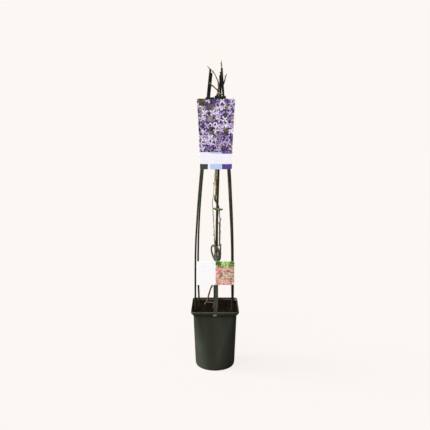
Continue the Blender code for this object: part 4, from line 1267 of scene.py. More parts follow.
def printed_label(look):
    """Glossy print on plastic: one bare white half and one of pink flowers under green leaves."""
    made, tree, shader, place, axes, flat = glossy_print("printed_label_stock")
    ground = leafy_ground(tree, flat, look.leaf, look.lime, 0.005)
    cream = linear("#f8e9d2")
    peach = linear("#e8a582")
    layers = (
        (0.0085, 5.0, 0.95, (0.011, 0.003, 0.0), cream, look.rose, look.pink),
        (0.0095, 6.0, 0.90, (0.027, 0.019, 0.0), look.rose, peach, look.pink),
        (0.0080, 5.0, 0.75, (0.043, 0.037, 0.0), cream, look.pink, look.rose),
        (0.0090, 6.0, 0.60, (0.061, 0.053, 0.0), look.rose, look.pink, cream),
        (0.0075, 5.0, 0.40, (0.079, 0.071, 0.0), peach, cream, look.pink),
    )
    flowers = scattered_flowers(tree, flat, ground, linear("#f0c4c0"), layers)
    # Flowers below a ragged border, leaves above it
    ragged = node(tree, "TexNoise", {"Vector": flat, "Scale": 1 / 0.009, "Detail": 2.0})
    border = node(tree, "Math", {0: ragged, 1: 0.040, 2: axes[2]}, operation="MULTIPLY_ADD")
    below = node(tree, "Math", {0: border, 1: 0.337}, operation="LESS_THAN")
    picture = node(tree, "Mix", {0: below, 6: ground, 7: flowers}, data_type="RGBA")
    mask = boxed(tree, axes, 0.0016, 1.0, 0.0, 1.0)
    tint = node(tree, "Mix", {0: mask, 6: look.sheet, 7: picture}, data_type="RGBA")
    smear = node(tree, "TexNoise", {"Vector": place, "Scale": 1 / 0.010, "Detail": 3.0})
    rough = node(tree, "MapRange", {0: smear, 1: 0.3, 2: 0.7, 3: 0.26, 4: 0.42})
    fed(shader, {"Base Color": tint, "Roughness": rough})
    return made


# Pieces


def pot_wall_at(z):
    """Half side and corner radius of the pot's outside at a height under the lip."""
    neck = POT_HEIGHT - LIP_EDGE - LIP_SLOPE
    t = min(max((z - FOOT_STEP) / (neck - FOOT_STEP), 0.0), 1.0)
    half = BASE_RADIUS + (NECK_HALF - BASE_RADIUS) * t
    corner = BASE_RADIUS + (NECK_CORNER - BASE_RADIUS) * t
    if z > neck:
        t = (z - neck) / LIP_SLOPE
        half += (RIM_HALF - NECK_HALF) * t
        corner += (RIM_CORNER - NECK_CORNER) * t
    return half, corner


def ring_place(share, ring):
    """A point of a ring of (half, corner, height)."""
    half, corner, height = ring
    x, y = squared(share, half, corner)
    return Vector((x, y, height))


class CLIMBER_OT_stage(bpy.types.Operator):
    """Sets out the pale floor, the soft lights and the camera"""

    bl_idname = "climber.stage"
    bl_label = "Stage"

    def execute(self, context):
        look = context.scene.climber.stage
        scene = context.scene
        scene.view_settings.view_transform = "Standard"
        backdrop = Vector(look.backdrop[:3])
        # Softboxes: turn round from the front, height, width in degrees, and strength
        boxes = (
            ("key_light", -38.0, 55.0, 70.0, look.key),
            ("side_light", -96.0, 28.0, 26.0, look.side),
            ("fill_light", 60.0, 35.0, 60.0, look.fill),
        )
        lit = look.dome
        for name, azimuth, rise, width, power in boxes:
            lamp = bpy.data.lights.new(name, "SUN")
            lamp.energy = power
            lamp.angle = math.radians(width)
            box = bpy.data.objects.new(name, lamp)
            box.rotation_euler = (math.radians(90.0 - rise), 0.0, math.radians(azimuth))
            scene.collection.objects.link(box)
            lit += power * math.sin(math.radians(rise)) / math.pi
        bm = bmesh.new()
        bmesh.ops.create_circle(bm, cap_ends=True, segments=64, radius=40.0)
        # Opal acrylic over a dim light table: its shadows are weak, and it throws little light up
        table_top, tree, shader = material("opal_acrylic")
        table = {
            "Base Color": (*(backdrop * (1 - look.glow) / lit), 1.0),
            "Roughness": 1.0,
            "Specular IOR Level": 0.0,
            "Emission Color": (*(backdrop * look.glow), 1.0),
            "Emission Strength": node(tree, "LightPath").outputs["Is Camera Ray"],
        }
        fed(shader, table)
        placed("floor", bm, [table_top])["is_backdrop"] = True
        world = bpy.data.worlds.new("studio")
        world.use_nodes = True
        tree = world.node_tree
        way = node(tree, "TexCoord").outputs["Generated"]
        side = node(tree, "SeparateXYZ", {0: way}).outputs[0]
        strong = look.dome * (1 + look.lean)
        weak = look.dome * (1 - look.lean)
        fall = node(tree, "MapRange", {0: side, 1: -1.0, 2: 1.0, 3: strong, 4: weak})
        dome = tree.nodes["Background"]
        fed(dome, {"Color": (1.0, 1.0, 1.0, 1.0), "Strength": fall})
        seen = node(tree, "Background", {"Color": look.backdrop, "Strength": 1.0})
        rays = node(tree, "LightPath").outputs["Is Camera Ray"]
        mixed = node(tree, "MixShader", {0: rays, 1: dome, 2: seen})
        fed(tree.nodes["World Output"], {"Surface": mixed})
        scene.world = world
        data = bpy.data.cameras.new("camera")
        data.sensor_width = 36.0
        data.lens = CAMERA_LENS
        data.clip_start = 0.05
        camera = bpy.data.objects.new("camera", data)
        camera.location = CAMERA_PLACE
        camera.rotation_euler = (math.radians(CAMERA_PITCH), 0.0, 0.0)
        scene.collection.objects.link(camera)
        scene.camera = camera
        return {"FINISHED"}


class CLIMBER_OT_pot(bpy.types.Operator):
    """Makes the pot: round foot, square rim with a rolled lip, drained floor"""

    bl_idname = "climber.pot"
    bl_label = "Pot"

    def execute(self, context):
        look = context.scene.climber.pot
        neck = POT_HEIGHT - LIP_EDGE - LIP_SLOPE
        lip = POT_HEIGHT - LIP_EDGE
        floor = FOOT_STEP + FLOOR_THICKNESS
        foot = FOOT_RADIUS - FOOT_WIDTH
        inner_base = BASE_RADIUS - WALL
        # Half side, corner radius, height, and how far each corner of the profile is rounded
        profile = dense(eased((
            (foot - 0.001, foot - 0.001, FOOT_STEP, 0.0),
            (foot, foot, FOOT_STEP, 0.0005),
            (foot, foot, 0.0, 0.0009),
            (FOOT_RADIUS, FOOT_RADIUS, 0.0, 0.0009),
            (FOOT_RADIUS, FOOT_RADIUS, FOOT_STEP - 0.0005, 0.0005),
            (BASE_RADIUS, BASE_RADIUS, FOOT_STEP, 0.0007),
            (NECK_HALF, NECK_CORNER, neck, 0.0016),
            (RIM_HALF, RIM_CORNER, lip, 0.0012),
            (RIM_HALF, RIM_CORNER, POT_HEIGHT, 0.0006),
            (RIM_HALF - WALL, RIM_CORNER - WALL, POT_HEIGHT, 0.0005),
            (RIM_HALF - WALL, RIM_CORNER - WALL, lip, 0.0012),
            (NECK_HALF - WALL, NECK_CORNER - WALL, neck, 0.0016),
            (inner_base, inner_base, floor, 0.0012),
            (inner_base - 0.003, inner_base - 0.003, floor, 0.0),
        )), RING_STEP)
        bm, _ = lofted(POT_SPOKES, profile, ring_place)
        bmesh.ops.recalc_face_normals(bm, faces=bm.faces)
        materials = [moulded_polypropylene(look), painted_highlight_polypropylene(look)]
        pot = placed("nursery_pot", bm, materials)
        combined(pot, [self.pad(materials)], "UNION")
        combined(pot, self.drills(materials), "DIFFERENCE")
        dressed(pot, "pot")
        return {"FINISHED"}

    def pad(self, materials):
        """The small plain oval pad under the lip, in the pale finish that paints a highlight on it."""
        bm = bmesh.new()
        bmesh.ops.create_uvsphere(bm, u_segments=40, v_segments=20, radius=1.0)
        tilt = math.atan2(RIM_HALF - NECK_HALF, LIP_SLOPE)
        middle = (0, -(RIM_HALF + NECK_HALF) / 2 - PAD_OUT, POT_HEIGHT - LIP_EDGE - LIP_SLOPE / 2)
        bmesh.ops.scale(bm, vec=PAD_SIZE, verts=bm.verts)
        bmesh.ops.rotate(bm, matrix=Matrix.Rotation(tilt, 3, "X"), verts=bm.verts)
        bmesh.ops.translate(bm, vec=middle, verts=bm.verts)
        for face in bm.faces:
            face.material_index = 1
        return placed("pad", bm, materials)

    def drills(self, materials):
        """Cutters for the drainage holes: one in the middle and a ring of them."""
        places = [(0.0, 0.0)]
        for index in range(DRAIN_COUNT):
            angle = 2 * math.pi * (index + 0.5) / DRAIN_COUNT
            places.append((DRAIN_CIRCLE * math.cos(angle), DRAIN_CIRCLE * math.sin(angle)))
        made = []
        for x, y in places:
            bm = bmesh.new()
            bmesh.ops.create_cone(
                bm,
                segments=40,
                radius1=DRAIN_RADIUS,
                radius2=DRAIN_RADIUS,
                depth=4 * FLOOR_THICKNESS,
                cap_ends=True,
            )
            bmesh.ops.translate(bm, vec=(x, y, FOOT_STEP + FLOOR_THICKNESS / 2), verts=bm.verts)
            made.append(placed("drill", bm, materials))
        return made


class CLIMBER_OT_soil(bpy.types.Operator):
    """Makes the peat: a lumpy top with loose crumbs, bark chips and fibres"""

    bl_idname = "climber.soil"
    bl_label = "Soil"

    def execute(self, context):
        look = context.scene.climber.soil
        draw = random.Random(SOIL_SEED)
        reach = RIM_HALF - WALL
        self.bumps = []
        for _ in range(SOIL_BUMPS):
            x = draw.uniform(-reach, reach)
            y = draw.uniform(-reach, reach)
            self.bumps.append((x, y, draw.uniform(*SOIL_BUMP_RISE), draw.uniform(*SOIL_BUMP_WIDTH)))
        bed = self.bed()
        bed.verts.layers.float.new("tone")
        whole = gathered([(bed, 0)])
        shapes = [self.crumb(seed) for seed in range(6)]
        for _ in range(look.crumbs):
            size = look.crumb_size * draw.uniform(0.45, 1.0) ** 1.5 * draw.choice((0.8, 1.0, 1.0, 1.5))
            self.strewn(whole, draw, draw.choice(shapes), (size, size, size * 0.8), 0.35)
        chip = self.chip()
        for _ in range(look.chips):
            size = (draw.uniform(0.0015, 0.0042), draw.uniform(0.0005, 0.0012), draw.uniform(0.0003, 0.0007))
            self.strewn(whole, draw, chip, size, 0.9)
        soil = placed("peat", whole, [peat(look)], 60.0)
        dressed(soil, "soil")
        return {"FINISHED"}

    def height(self, x, y):
        """The lumpy level of the soil, with finer crumb on top."""
        level = SOIL_LEVEL
        for bx, by, rise, width in self.bumps:
            level += rise * math.exp(-((x - bx) ** 2 + (y - by) ** 2) / width**2)
        for stand, lumps, layer in SOIL_CRUMB:
            level += stand * noise.noise(Vector((x, y, layer)) * lumps)
        return level

    def edge(self, share, scale=1.0):
        """A point of the soil's outline, drawn in towards its middle by a scale."""
        half, corner = pot_wall_at(SOIL_LEVEL)
        inset = WALL + SOIL_EDGE_INSET
        x, y = squared(share, half - inset, corner - inset)
        return x * scale, y * scale

    def bed(self):
        """The body of the soil, from the pot's floor to its lumpy top."""
        floor = FOOT_STEP + FLOOR_THICKNESS + GAP
        neck = POT_HEIGHT - LIP_EDGE - LIP_SLOPE
        inset = WALL + 2 * GAP
        sides = []
        for index in range(13):
            z = floor + (neck - floor) * index / 12
            half, corner = pot_wall_at(z)
            sides.append((half - inset, corner - inset, z))
        tops = [SOIL_RINGS - index for index in range(SOIL_RINGS)]

        def place(share, ring):
            if isinstance(ring, tuple):
                return ring_place(share, ring)
            x, y = self.edge(share, ring / SOIL_RINGS)
            if ring == SOIL_RINGS:
                return Vector((x, y, SOIL_LEVEL - SOIL_EDGE_DROP))
            return Vector((x, y, self.height(x, y)))

        bm, caps = lofted(SOIL_SPOKES, sides + tops, place)
        centre = Vector((0.0, 0.0, self.height(0.0, 0.0)))
        bmesh.ops.pointmerge(bm, verts=list(caps[-1].verts), merge_co=centre)
        return bm

    def crumb(self, seed):
        """One crumb of peat as a mesh: an uneven lump of a few dozen faces."""
        bm = bmesh.new()
        bmesh.ops.create_icosphere(bm, subdivisions=1 + seed % 2, radius=1.0)
        for vert in bm.verts:
            vert.co *= 1 + 0.45 * noise.noise(vert.co * 1.7 + Vector((seed * 9.1, 0.0, 0.0)))
        return self.stamp_mesh(bm)

    def chip(self):
        """A flat chip of bark as a mesh."""
        bm = bmesh.new()
        bmesh.ops.create_cube(bm, size=2.0)
        bmesh.ops.subdivide_edges(bm, edges=bm.edges, cuts=1, use_grid_fill=True)
        for vert in bm.verts:
            vert.co *= 1 + 0.3 * noise.noise(vert.co * 1.3)
            vert.co.z += 0.5 * vert.co.x**2
        return self.stamp_mesh(bm)

    def stamp_mesh(self, bm):
        """The bmesh as a mesh that can be laid down many times."""
        bm.verts.layers.float.new("tone")
        mesh = bpy.data.meshes.new("stamp")
        bm.to_mesh(mesh)
        bm.free()
        return mesh

    def strewn(self, whole, draw, stamp, size, dryness):
        """Lays one stamp somewhere on the soil, half sunk, turned at random."""
        x, y = self.edge(draw.random(), 0.97 * math.sqrt(draw.random()))
        turn = Matrix.Rotation(draw.uniform(0, 2 * math.pi), 4, "Z")
        tilt = Matrix.Rotation(draw.uniform(-0.5, 0.5), 4, "X")
        middle = Matrix.Translation((x, y, self.height(x, y) + 0.3 * size[2]))
        place = middle @ turn @ tilt @ Matrix.Diagonal((*size, 1.0))
        for value in stamp.attributes["tone"].data:
            value.value = dryness * draw.random()
        stamp.transform(place)
        whole.from_mesh(stamp)
        stamp.transform(place.inverted())


class CLIMBER_OT_canes(bpy.types.Operator):
    """Makes the five bamboo canes with their nodes and hollow cut ends"""

    bl_idname = "climber.canes"
    bl_label = "Canes"

    def execute(self, context):
        look = context.scene.climber.canes
        materials = [dyed_bamboo(look), cut_bamboo(look)]
        for seed, name in enumerate(CANES):
            bm, caps = swept(self.path(name), CANE_SIDES, self.relief(seed), start=seed)
            hollowed(bm, caps[-1], CANE_WALL, CANE_HOLLOW, 1)
            caps[0].material_index = 1
            bmesh.ops.recalc_face_normals(bm, faces=bm.faces)
            cane = placed(name.replace("cane", "bamboo"), bm, materials, 35.0)
            dressed(cane, name)
        return {"FINISHED"}

    def path(self, name):
        """The cane's axis, closely ringed at its nodes, and a little slimmer between them."""
        axis = cane_axis(name, AXIS_STEP)
        nodes = CANES[name][1]
        low = axis[0][2]
        high = axis[-1][2]
        reach = CANE_NODE[-1][0] * 1.2
        count = round((high - low) / CANE_STEP)
        levels = [low + (high - low) * index / count for index in range(count + 1)]
        rings = [(z, 0.0) for z in levels if all(abs(z - n) > reach for n in nodes) or z in (low, high)]
        rings += [(n + offset, rise) for n in nodes for offset, rise in CANE_NODE]
        path = []
        for z, rise in sorted(rings):
            place = axis_at(axis, z).copy()
            place[3] += rise
            path.append(place)
        return path

    def relief(self, seed):
        """The slight flats of a real cane, as shares of its radius."""
        def change(share, run):
            turn = 2 * math.pi * share
            flats = noise.noise(Vector((math.cos(turn), math.sin(turn), run * 9 + seed)))
            return 0.02 * flats - 0.015
        return change


class CLIMBER_OT_clips(bpy.types.Operator):
    """Makes the two black bars that hold the canes and the tall card"""

    bl_idname = "climber.clips"
    bl_label = "Clips"

    def execute(self, context):
        look = context.scene.climber.clips
        nylon = moulded_nylon(look)
        for name in CLIPS:
            dressed(self.clip(name, look.edge, nylon), name)
        return {"FINISHED"}

    def clip(self, name, edge, nylon):
        """A bar with a round knob at each end, bored for its canes and slotted for the card."""
        (left, right), level, height, knob_radius, canes = CLIPS[name]
        depth = CLIP_BACK - CLIP_FRONT
        middle_y = (CLIP_FRONT + CLIP_BACK) / 2
        bm = bmesh.new()
        bmesh.ops.create_cube(bm, size=1.0)
        bmesh.ops.scale(bm, vec=(right - left - 2 * knob_radius, depth - edge, height), verts=bm.verts)
        rounding = {"affect": "EDGES", "profile": 0.5, "material": -1}
        bmesh.ops.bevel(bm, geom=bm.edges, offset=edge, segments=3, clamp_overlap=True, **rounding)
        bmesh.ops.translate(bm, vec=((left + right) / 2, middle_y, level), verts=bm.verts)
        clip = placed(name.replace("clip", "cane_bar"), bm, [nylon], 20.0)
        knobs = []
        for x in (left + knob_radius, right - knob_radius):
            bm = bmesh.new()
            bmesh.ops.create_cone(
                bm, segments=40, radius1=knob_radius, radius2=knob_radius, depth=depth, cap_ends=True
            )
            rims = [item for item in bm.edges if max(len(face.verts) for face in item.link_faces) > 4]
            bmesh.ops.bevel(bm, geom=rims, offset=1.4 * edge, segments=4, **rounding)
            bmesh.ops.rotate(bm, matrix=Matrix.Rotation(math.pi / 2, 3, "X"), verts=bm.verts)
            bmesh.ops.translate(bm, vec=(x, middle_y, level), verts=bm.verts)
            knobs.append(placed("knob", bm, [nylon], 20.0))
        combined(clip, knobs, "UNION", 20.0)
        cutters = [self.slot(level, knob_radius, nylon)]
        for cane in canes:
            axis = cane_axis(cane, AXIS_STEP)
            path = [axis_at(axis, level + offset) + Vector((0, 0, 0, GAP)) for offset in (-0.02, 0.0, 0.02)]
            bore, _ = swept(path, CANE_SIDES * 2)
            bmesh.ops.recalc_face_normals(bore, faces=bore.faces)
            cutters.append(placed("bore", bore, [nylon]))
        return combined(clip, cutters, "DIFFERENCE", 20.0)

    def slot(self, level, knob_radius, nylon):
        """Cutter for the slot that takes the card's upper edge."""
        lean = (DISPLAY_TOP_Y - DISPLAY_BOTTOM_Y) / (DISPLAY_TOP - DISPLAY_BOTTOM)
        roof = DISPLAY_TOP + GAP
        low = level - 2 * knob_radius
        bm = bmesh.new()
        bmesh.ops.create_cube(bm, size=1.0)
        bmesh.ops.scale(bm, vec=(0.1, CARD_THICKNESS + 2 * GAP, roof - low), verts=bm.verts)
        bmesh.ops.translate(bm, vec=(0, 0, (roof + low) / 2), verts=bm.verts)
        for vert in bm.verts:
            vert.co.y += DISPLAY_TOP_Y + (vert.co.z - DISPLAY_TOP) * lean
        return placed("slot", bm, [nylon])


def card_blank(half_width, centre, low, high, corner, rows):
    """A flat card with round corners: half_width gives its half width from foot (0) to top (1)."""
    bm = bmesh.new()
    bmesh.ops.create_grid(bm, x_segments=1, y_segments=rows, size=1.0)
    for vert in bm.verts:
        share = (vert.co.y + 1) / 2
        side = math.copysign(half_width(share), vert.co.x)
        vert.co = (centre + side, 0.0, low + (high - low) * share)
    corners = [vert for vert in bm.verts if len(vert.link_edges) == 2]
    bmesh.ops.bevel(
        bm, geom=corners, offset=corner, segments=8, affect="VERTICES", profile=0.5, material=-1
    )
    swept_up = bmesh.ops.extrude_face_region(bm, geom=list(bm.faces))["geom"]
    bmesh.ops.translate(bm, vec=(0, CARD_THICKNESS, 0), verts=only(bmesh.types.BMVert, swept_up))
    bmesh.ops.translate(bm, vec=(0, -CARD_THICKNESS / 2, 0), verts=bm.verts)
    bmesh.ops.recalc_face_normals(bm, faces=bm.faces)
    rim = [edge for edge in bm.edges if edge.calc_face_angle(0.0) > 1.2]
    bmesh.ops.bevel(
        bm, geom=rim, offset=CARD_EDGE, segments=2, affect="EDGES", profile=0.5, material=-1
    )
    for face in bm.faces:
        face.material_index = 0 if face.normal.y < -0.9 else 1
    return bm


class CLIMBER_OT_display_card(bpy.types.Operator):
    """Makes the tall printed card that hangs in the clip bars"""

    bl_idname = "climber.display_card"
    bl_label = "Tall card"

    def execute(self, context):
        look = context.scene.climber.card
        bm = card_blank(
            self.half_width, DISPLAY_CENTRE_X, DISPLAY_BOTTOM, DISPLAY_TOP, DISPLAY_CORNER, DISPLAY_ROWS
        )
        lean = (DISPLAY_TOP_Y - DISPLAY_BOTTOM_Y) / (DISPLAY_TOP - DISPLAY_BOTTOM)
        for vert in bm.verts:
            vert.co.y += DISPLAY_BOTTOM_Y + lean * (vert.co.z - DISPLAY_BOTTOM)
        plain = bare_sheet("bare_polystyrene", look.sheet, linear("#dcd7e2"))
        card = placed("tall_card", bm, [printed_card(look), plain], 20.0)
        dressed(card, "display_card")
        return {"FINISHED"}

    def half_width(self, share):
        """A parabola through the half widths at the foot, the middle and the top."""
        foot, middle, top = DISPLAY_HALF_WIDTHS
        return foot + (top - foot) * share + 4 * share * (1 - share) * (middle - (foot + top) / 2)


class CLIMBER_OT_label(bpy.types.Operator):
    """Makes the small card and the stake that carries it"""

    bl_idname = "climber.label"
    bl_label = "Small card and stake"

    def execute(self, context):
        look = context.scene.climber.label
        half = (LABEL_RIGHT - LABEL_LEFT) / 2
        centre = (LABEL_RIGHT + LABEL_LEFT) / 2
        bm = card_blank(lambda share: half, centre, LABEL_BOTTOM, LABEL_TOP, LABEL_CORNER, 1)
        bmesh.ops.translate(bm, vec=(0, LABEL_Y, 0), verts=bm.verts)
        plain = bare_sheet("bare_label_stock", look.sheet, linear("#e4e3e6"))
        card = placed("small_card", bm, [printed_label(look), plain], 20.0)
        dressed(card, "label_card")
        stake = self.stake(context.scene.climber.stake)
        dressed(stake, "label_stake")
        return {"FINISHED"}

    def stake(self, look):
        """A strip with a raised rib down each edge and a tapered point."""
        front = LABEL_Y + CARD_THICKNESS / 2 + GAP
        depth = STAKE_THICKNESS + STAKE_RIB_RISE
        bm = bmesh.new()
        bmesh.ops.create_cube(bm, size=1.0)
        bmesh.ops.scale(bm, vec=(STAKE_WIDTH, depth, STAKE_TOP - STAKE_SHOULDER), verts=bm.verts)
        middle = (STAKE_X, front + depth / 2, (STAKE_TOP + STAKE_SHOULDER) / 2)
        bmesh.ops.translate(bm, vec=middle, verts=bm.verts)
        bm.normal_update()
        foot = [face for face in bm.faces if face.normal.z < -0.9]
        grown = drawn_out(bm, foot)
        middle_y = front + depth / 2
        narrow, thin = STAKE_TIP_SHARES
        for vert in only(bmesh.types.BMVert, grown):
            vert.co.x = STAKE_X + (vert.co.x - STAKE_X) * narrow
            vert.co.y = middle_y + (vert.co.y - middle_y) * thin
            vert.co.z = STAKE_POINT
        bm.normal_update()
        fronts = [face for face in bm.faces if face.normal.y < -0.9]
        face = [max(fronts, key=lambda item: item.calc_area())]
        bmesh.ops.inset_region(bm, faces=face, thickness=STAKE_RIB, use_even_offset=True)
        sunk = {"thickness": STAKE_RIB_DRAFT, "depth": -STAKE_RIB_RISE}
        bmesh.ops.inset_region(bm, faces=face, use_even_offset=True, **sunk)
        bmesh.ops.recalc_face_normals(bm, faces=bm.faces)
        sharp = [edge for edge in bm.edges if edge.calc_face_angle(0.0) > 0.5]
        bmesh.ops.bevel(
            bm, geom=sharp, offset=look.edge, segments=2, affect="EDGES", profile=0.5, material=-1
        )
        return placed("stake", bm, [moulded_styrene(look)], 20.0)


class CLIMBER_OT_plant(bpy.types.Operator):
    """Makes the bare climber: roots, twisted stem, shoots and winter buds"""

    bl_idname = "climber.plant"
    bl_label = "Plant"

    # Strand: sides, depth of its ridges, and its bark by height
    BARKS = {
        "trunk": (20, 0.07, ((0.186, "stain_and_shade"), (0.200, "brown"), (0.270, "brown"), (0.305, "old"))),
        "twist_left": (
            16,
            0.05,
            (
                (0.340, "grey"),
                (0.362, "old"),
                (0.378, "olive"),
                (0.390, "pale"),
                (0.560, "pale"),
                (0.600, "golden"),
                (0.830, "olive"),
                (0.870, "olive"),
                (0.893, "pale"),
            ),
        ),
        "twist_middle": (24, 0.12, ((0.325, "old"), (0.352, "brown"), (0.360, "grey"))),
        "twist_right": (
            16,
            0.06,
            (
                (0.350, "old"),
                (0.362, "olive"),
                (0.372, "rust"),
                (0.400, "brown"),
                (0.430, "brown"),
                (0.442, "olive"),
                (0.470, "olive"),
                (0.495, "rust"),
                (0.520, "golden"),
                (0.760, "golden"),
                # The stain colour at the top clip paints shade on this shoot
                (0.800, "stain_and_shade"),
                (0.812, "rust"),
                (0.822, "rust"),
                (0.836, "old"),
                (0.856, "olive"),
                (0.887, "pale"),
            ),
        ),
        "side_loop": (18, 0.08, ((0.320, "grey"), (0.345, "old"), (0.362, "old"), (0.368, "grey"))),
        "root_short": (14, 0.10, ((0.0, "stain_and_shade"),)),
        "root_stub": (14, 0.10, ((0.0, "stain_and_shade"),)),
        "root_arched": (12, 0.08, ((0.0, "stain_and_shade"),)),
        "cross_twig": (12, 0.05, ((0.356, "grey"), (0.368, "olive"), (0.374, "brown"))),
        "short_spur": (12, 0.05, ((0.420, "brown"), (0.435, "olive"))),
        "left_twig": (12, 0.05, ((0.818, "rust"), (0.828, "brown"), (0.834, "rust"))),
        "right_twig": (12, 0.05, ((0.832, "rust"), (0.842, "olive"))),
    }
    # Heights of the leaf scars between the buds
    SCARS = {
        "trunk": (0.212, 0.236),
        "twist_left": (0.424, 0.452, 0.487, 0.575, 0.603, 0.848, 0.866),
        "twist_right": (0.384, 0.425, 0.461, 0.536, 0.570, 0.600, 0.832, 0.853, 0.880),
        "left_twig": (0.8275,),
        "right_twig": (0.8460, 0.8600),
    }
    SCAR_SWELL = 0.30
    SCAR_REACH = 0.0018

    def execute(self, context):
        look = context.scene.climber.plant
        parts = []
        coarse = {}
        for seed, (name, (sides, depth, tints)) in enumerate(self.BARKS.items()):
            coarse[name] = strand_path(name, STRAND_STEP if name in LONG_SHOOTS else TWIST_STEP)
            path = self.rounded(self.scarred(name, strand_path(name, look.ring_step)))
            bm, _ = swept(path, sides, self.ridges(depth, seed), start=float(seed))
            self.tinted(bm, look, tints)
            parts.append((bm, 0))
        for name, *values in BUDS:
            bud = self.bud(coarse[name], *values)
            self.tinted(bud, look, ((0.0, "bud"),))
            parts.append((bud, 0))
        whole = gathered(parts)
        plant = placed("climber", whole, [bark()], 60.0)
        dressed(plant, "wisteria")
        return {"FINISHED"}

    def scarred(self, name, path):
        """The path with a slight swelling at each bud and leaf scar."""
        levels = [level for strand, level, *_ in BUDS if strand == name]
        levels += self.SCARS.get(name, ())
        for place in path:
            nearest = min((abs(place[2] - level) for level in levels), default=1.0)
            place[3] *= 1 + self.SCAR_SWELL * math.exp(-((nearest / self.SCAR_REACH) ** 2))
        return path

    def rounded(self, path):
        """The path with both its ends drawn in to round tips."""
        for _ in range(2):
            path = path[::-1]
            last = path[-1]
            reach = 0.9 * last[3]
            while len(path) > 2 and (path[-2] - last).to_3d().length < reach:
                del path[-2]
            inner = path[-2]
            start = last.lerp(inner, min(reach / (inner - last).to_3d().length, 0.98))
            del path[-1]
            for turn in (0.0, 25.0, 45.0, 62.0, 76.0, 86.0):
                ring = start.lerp(last, math.sin(math.radians(turn)))
                ring[3] = start[3] * math.cos(math.radians(turn))
                path.append(ring)
        return path

    def tinted(self, bm, look, tints):
        """Gives each point the bark of its height, blended between the heights that are given."""
        layer = bm.verts.layers.float_color.new("tint")
        stops = [(level, Vector(getattr(look, name))) for level, name in tints]
        stops.append((stops[-1][0] + 1.0, stops[-1][1]))
        levels = [level for level, _ in stops]
        for vert in bm.verts:
            upper = min(max(bisect.bisect(levels, vert.co.z), 1), len(stops) - 1)
            low, before = stops[upper - 1]
            high, after = stops[upper]
            share = min(max((vert.co.z - low) / (high - low), 0.0), 1.0)
            vert[layer] = before.lerp(after, share)

    def ridges(self, depth, seed):
        """Long uneven ridges with finer grit, as shares of the radius."""
        def change(share, run):
            turn = 2 * math.pi * share
            round_point = Vector((math.cos(turn), math.sin(turn), 0.0))
            ridge = noise.noise(round_point * 1.6 + Vector((0.0, seed * 3.0, run * 55)))
            grit = noise.noise(round_point * 3.0 + Vector((5.0, seed * 3.0, run * 330)))
            return depth * (0.9 * ridge + 0.5 * grit)
        return change

    def bud(self, path, level, way, long, radius):
        """A pointed winter bud with overlapping scales, its foot sunk in the strand that bears it."""
        bm = bmesh.new()
        bmesh.ops.create_uvsphere(bm, u_segments=16, v_segments=12, radius=1.0)
        grain = bm.verts.layers.float_vector.new("grain")
        for vert in bm.verts:
            rise = (vert.co.z + 1) / 2
            turn = math.atan2(vert.co.y, vert.co.x) / (2 * math.pi)
            scale_edge = (2 * turn + 2.5 * rise) % 1.0
            swell = (1.12 - 0.55 * rise**2) * (0.90 + 0.16 * (1 - scale_edge))
            vert.co.x *= swell
            vert.co.y *= swell
        bmesh.ops.scale(bm, vec=(radius, radius, long / 2), verts=bm.verts)
        for vert in bm.verts:
            vert[grain] = vert.co + Vector((0.0, 0.0, 20.0))
        direction = Vector(way).normalized()
        turn = direction.to_track_quat("Z", "Y").to_matrix()
        bmesh.ops.rotate(bm, matrix=turn, verts=bm.verts)
        middle = axis_at(path, level).to_3d() + direction * long * BUD_STAND
        bmesh.ops.translate(bm, vec=middle, verts=bm.verts)
        return bm


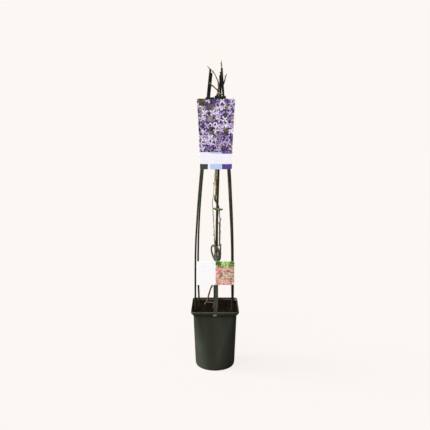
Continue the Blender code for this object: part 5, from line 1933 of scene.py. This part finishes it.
class CLIMBER_OT_ties(bpy.types.Operator):
    """Makes the soft green ties: a loop, a knot and loose ends"""

    bl_idname = "climber.ties"
    bl_label = "Ties"

    def execute(self, context):
        look = context.scene.climber.ties
        vinyl = soft_vinyl(look)
        for name in TIES:
            tie = self.tie(name, vinyl)
            dressed(tie, name)
        return {"FINISHED"}

    def discs(self, level, strands):
        """Where the cane and the strands cross the band of heights that a tie takes up."""
        place = axis_at(cane_axis("cane_centre", TIE_AXIS_STEP), level)
        found = [(place[0], place[1], place[3])]
        for name in strands:
            path = strand_path(name, STRAND_STEP)
            for offset in (-TIE_BAND, -TIE_BAND / 2, 0, TIE_BAND / 2, TIE_BAND):
                place = axis_at(path, level + offset)
                found.append((place[0], place[1], place[3]))
        return found

    def loop(self, discs, level, slope, radius):
        """A taut loop round discs of (x, y, radius), as points of (x, y, z, cord radius)."""
        points = []
        for index in range(TIE_POINTS):
            angle = 2 * math.pi * index / TIE_POINTS
            way = Vector((math.cos(angle), math.sin(angle)))
            x, y, reach = max(discs, key=lambda disc: way.dot(disc[:2]) + disc[2])
            stand = reach + radius + TIE_GAP
            px = x + way.x * stand
            py = y + way.y * stand
            points.append(Vector((px, py, level + slope * px, radius)))
        return points

    def tie(self, name, vinyl):
        """One tie: its loop, the knot over its join, and two loose ends."""
        level, slope, radius, strands, knot_share, knot_size, tails = TIES[name]
        loop = self.loop(self.discs(level, strands), level, slope, radius)
        bm, _ = swept(loop + loop[:1], TIE_SIDES, self.creases)
        parts = [(bm, 0)]
        knot_place = loop[round(knot_share * TIE_POINTS)].to_3d()
        middle = knot_place + Vector((0, radius - knot_size[1], 0))
        parts.append((self.knot(middle, knot_size, radius), 0))
        for tail in tails:
            points = [(*(knot_place + Vector(offset)), radius * TAIL_SHARE) for offset in tail]
            bm, caps = swept(through(points, TIE_STEP), TIE_SIDES, self.creases)
            hollowed(bm, caps[-1], radius * TAIL_WALL, radius * TAIL_HOLLOW, 0)
            parts.append((bm, 0))
        return placed(name.replace("tie", "vinyl_tie"), gathered(parts), [vinyl], 50.0)

    def creases(self, share, run):
        """Slight flattening and creasing of the soft tube."""
        turn = 2 * math.pi * share
        return 0.06 * noise.noise(Vector((math.cos(turn), math.sin(turn), run * 350)))

    def knot(self, middle, size, radius):
        """An overhand knot: a trefoil of the same tube, pulled tight into the knot's size."""
        thick = KNOT_SHARE * radius if radius > THIN_CORD else KNOT_THIN
        path = []
        for index in range(KNOT_POINTS):
            t = 2 * math.pi * index / KNOT_POINTS
            x = (math.sin(t) + 2 * math.sin(2 * t)) / 3
            z = (math.cos(t) - 2 * math.cos(2 * t)) / 3
            y = -math.sin(3 * t)
            spot = Vector((x * (size[0] - thick), y * (size[1] - thick), z * (size[2] - thick)))
            path.append(Vector((*(middle + spot), thick)))
        bm, _ = swept(path + path[:1], 14, self.creases)
        return bm


class CLIMBER_PT_panel(bpy.types.Panel):
    """Lists the pieces and the stage with their settings"""

    bl_idname = "CLIMBER_PT_panel"
    bl_label = "Potted climber"
    bl_space_type = "VIEW_3D"
    bl_region_type = "UI"
    bl_category = "Climber"

    def draw(self, context):
        settings = context.scene.climber
        for operator, names in PIECES:
            box = self.layout.box()
            box.operator(operator)
            for name in names:
                group = getattr(settings, name)
                for key in group.__annotations__:
                    box.prop(group, key)


PIECES = (
    ("climber.stage", ("stage",)),
    ("climber.pot", ("pot",)),
    ("climber.soil", ("soil",)),
    ("climber.canes", ("canes",)),
    ("climber.clips", ("clips",)),
    ("climber.display_card", ("card",)),
    ("climber.label", ("label", "stake")),
    ("climber.plant", ("plant",)),
    ("climber.ties", ("ties",)),
)
CLASSES = (
    StageSettings,
    PotSettings,
    SoilSettings,
    CaneSettings,
    ClipSettings,
    CardSettings,
    LabelSettings,
    StakeSettings,
    PlantSettings,
    TieSettings,
    ClimberSettings,
    CLIMBER_OT_stage,
    CLIMBER_OT_pot,
    CLIMBER_OT_soil,
    CLIMBER_OT_canes,
    CLIMBER_OT_clips,
    CLIMBER_OT_display_card,
    CLIMBER_OT_label,
    CLIMBER_OT_plant,
    CLIMBER_OT_ties,
    CLIMBER_PT_panel,
)


def register():
    for item in CLASSES:
        bpy.utils.register_class(item)
    bpy.types.Scene.climber = PointerProperty(type=ClimberSettings)


def unregister():
    del bpy.types.Scene.climber
    for item in reversed(CLASSES):
        bpy.utils.unregister_class(item)


def main():
    register()
    bpy.ops.climber.stage()
    bpy.ops.climber.pot()
    bpy.ops.climber.soil()
    bpy.ops.climber.canes()
    bpy.ops.climber.clips()
    bpy.ops.climber.display_card()
    bpy.ops.climber.label()
    bpy.ops.climber.plant()
    bpy.ops.climber.ties()
    boxes = {"cad": CAD_BOX, "visual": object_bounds()}
    {name: [list(corner) for corner in box] for name, box in boxes.items()}


if __name__ == "__main__":
    main()
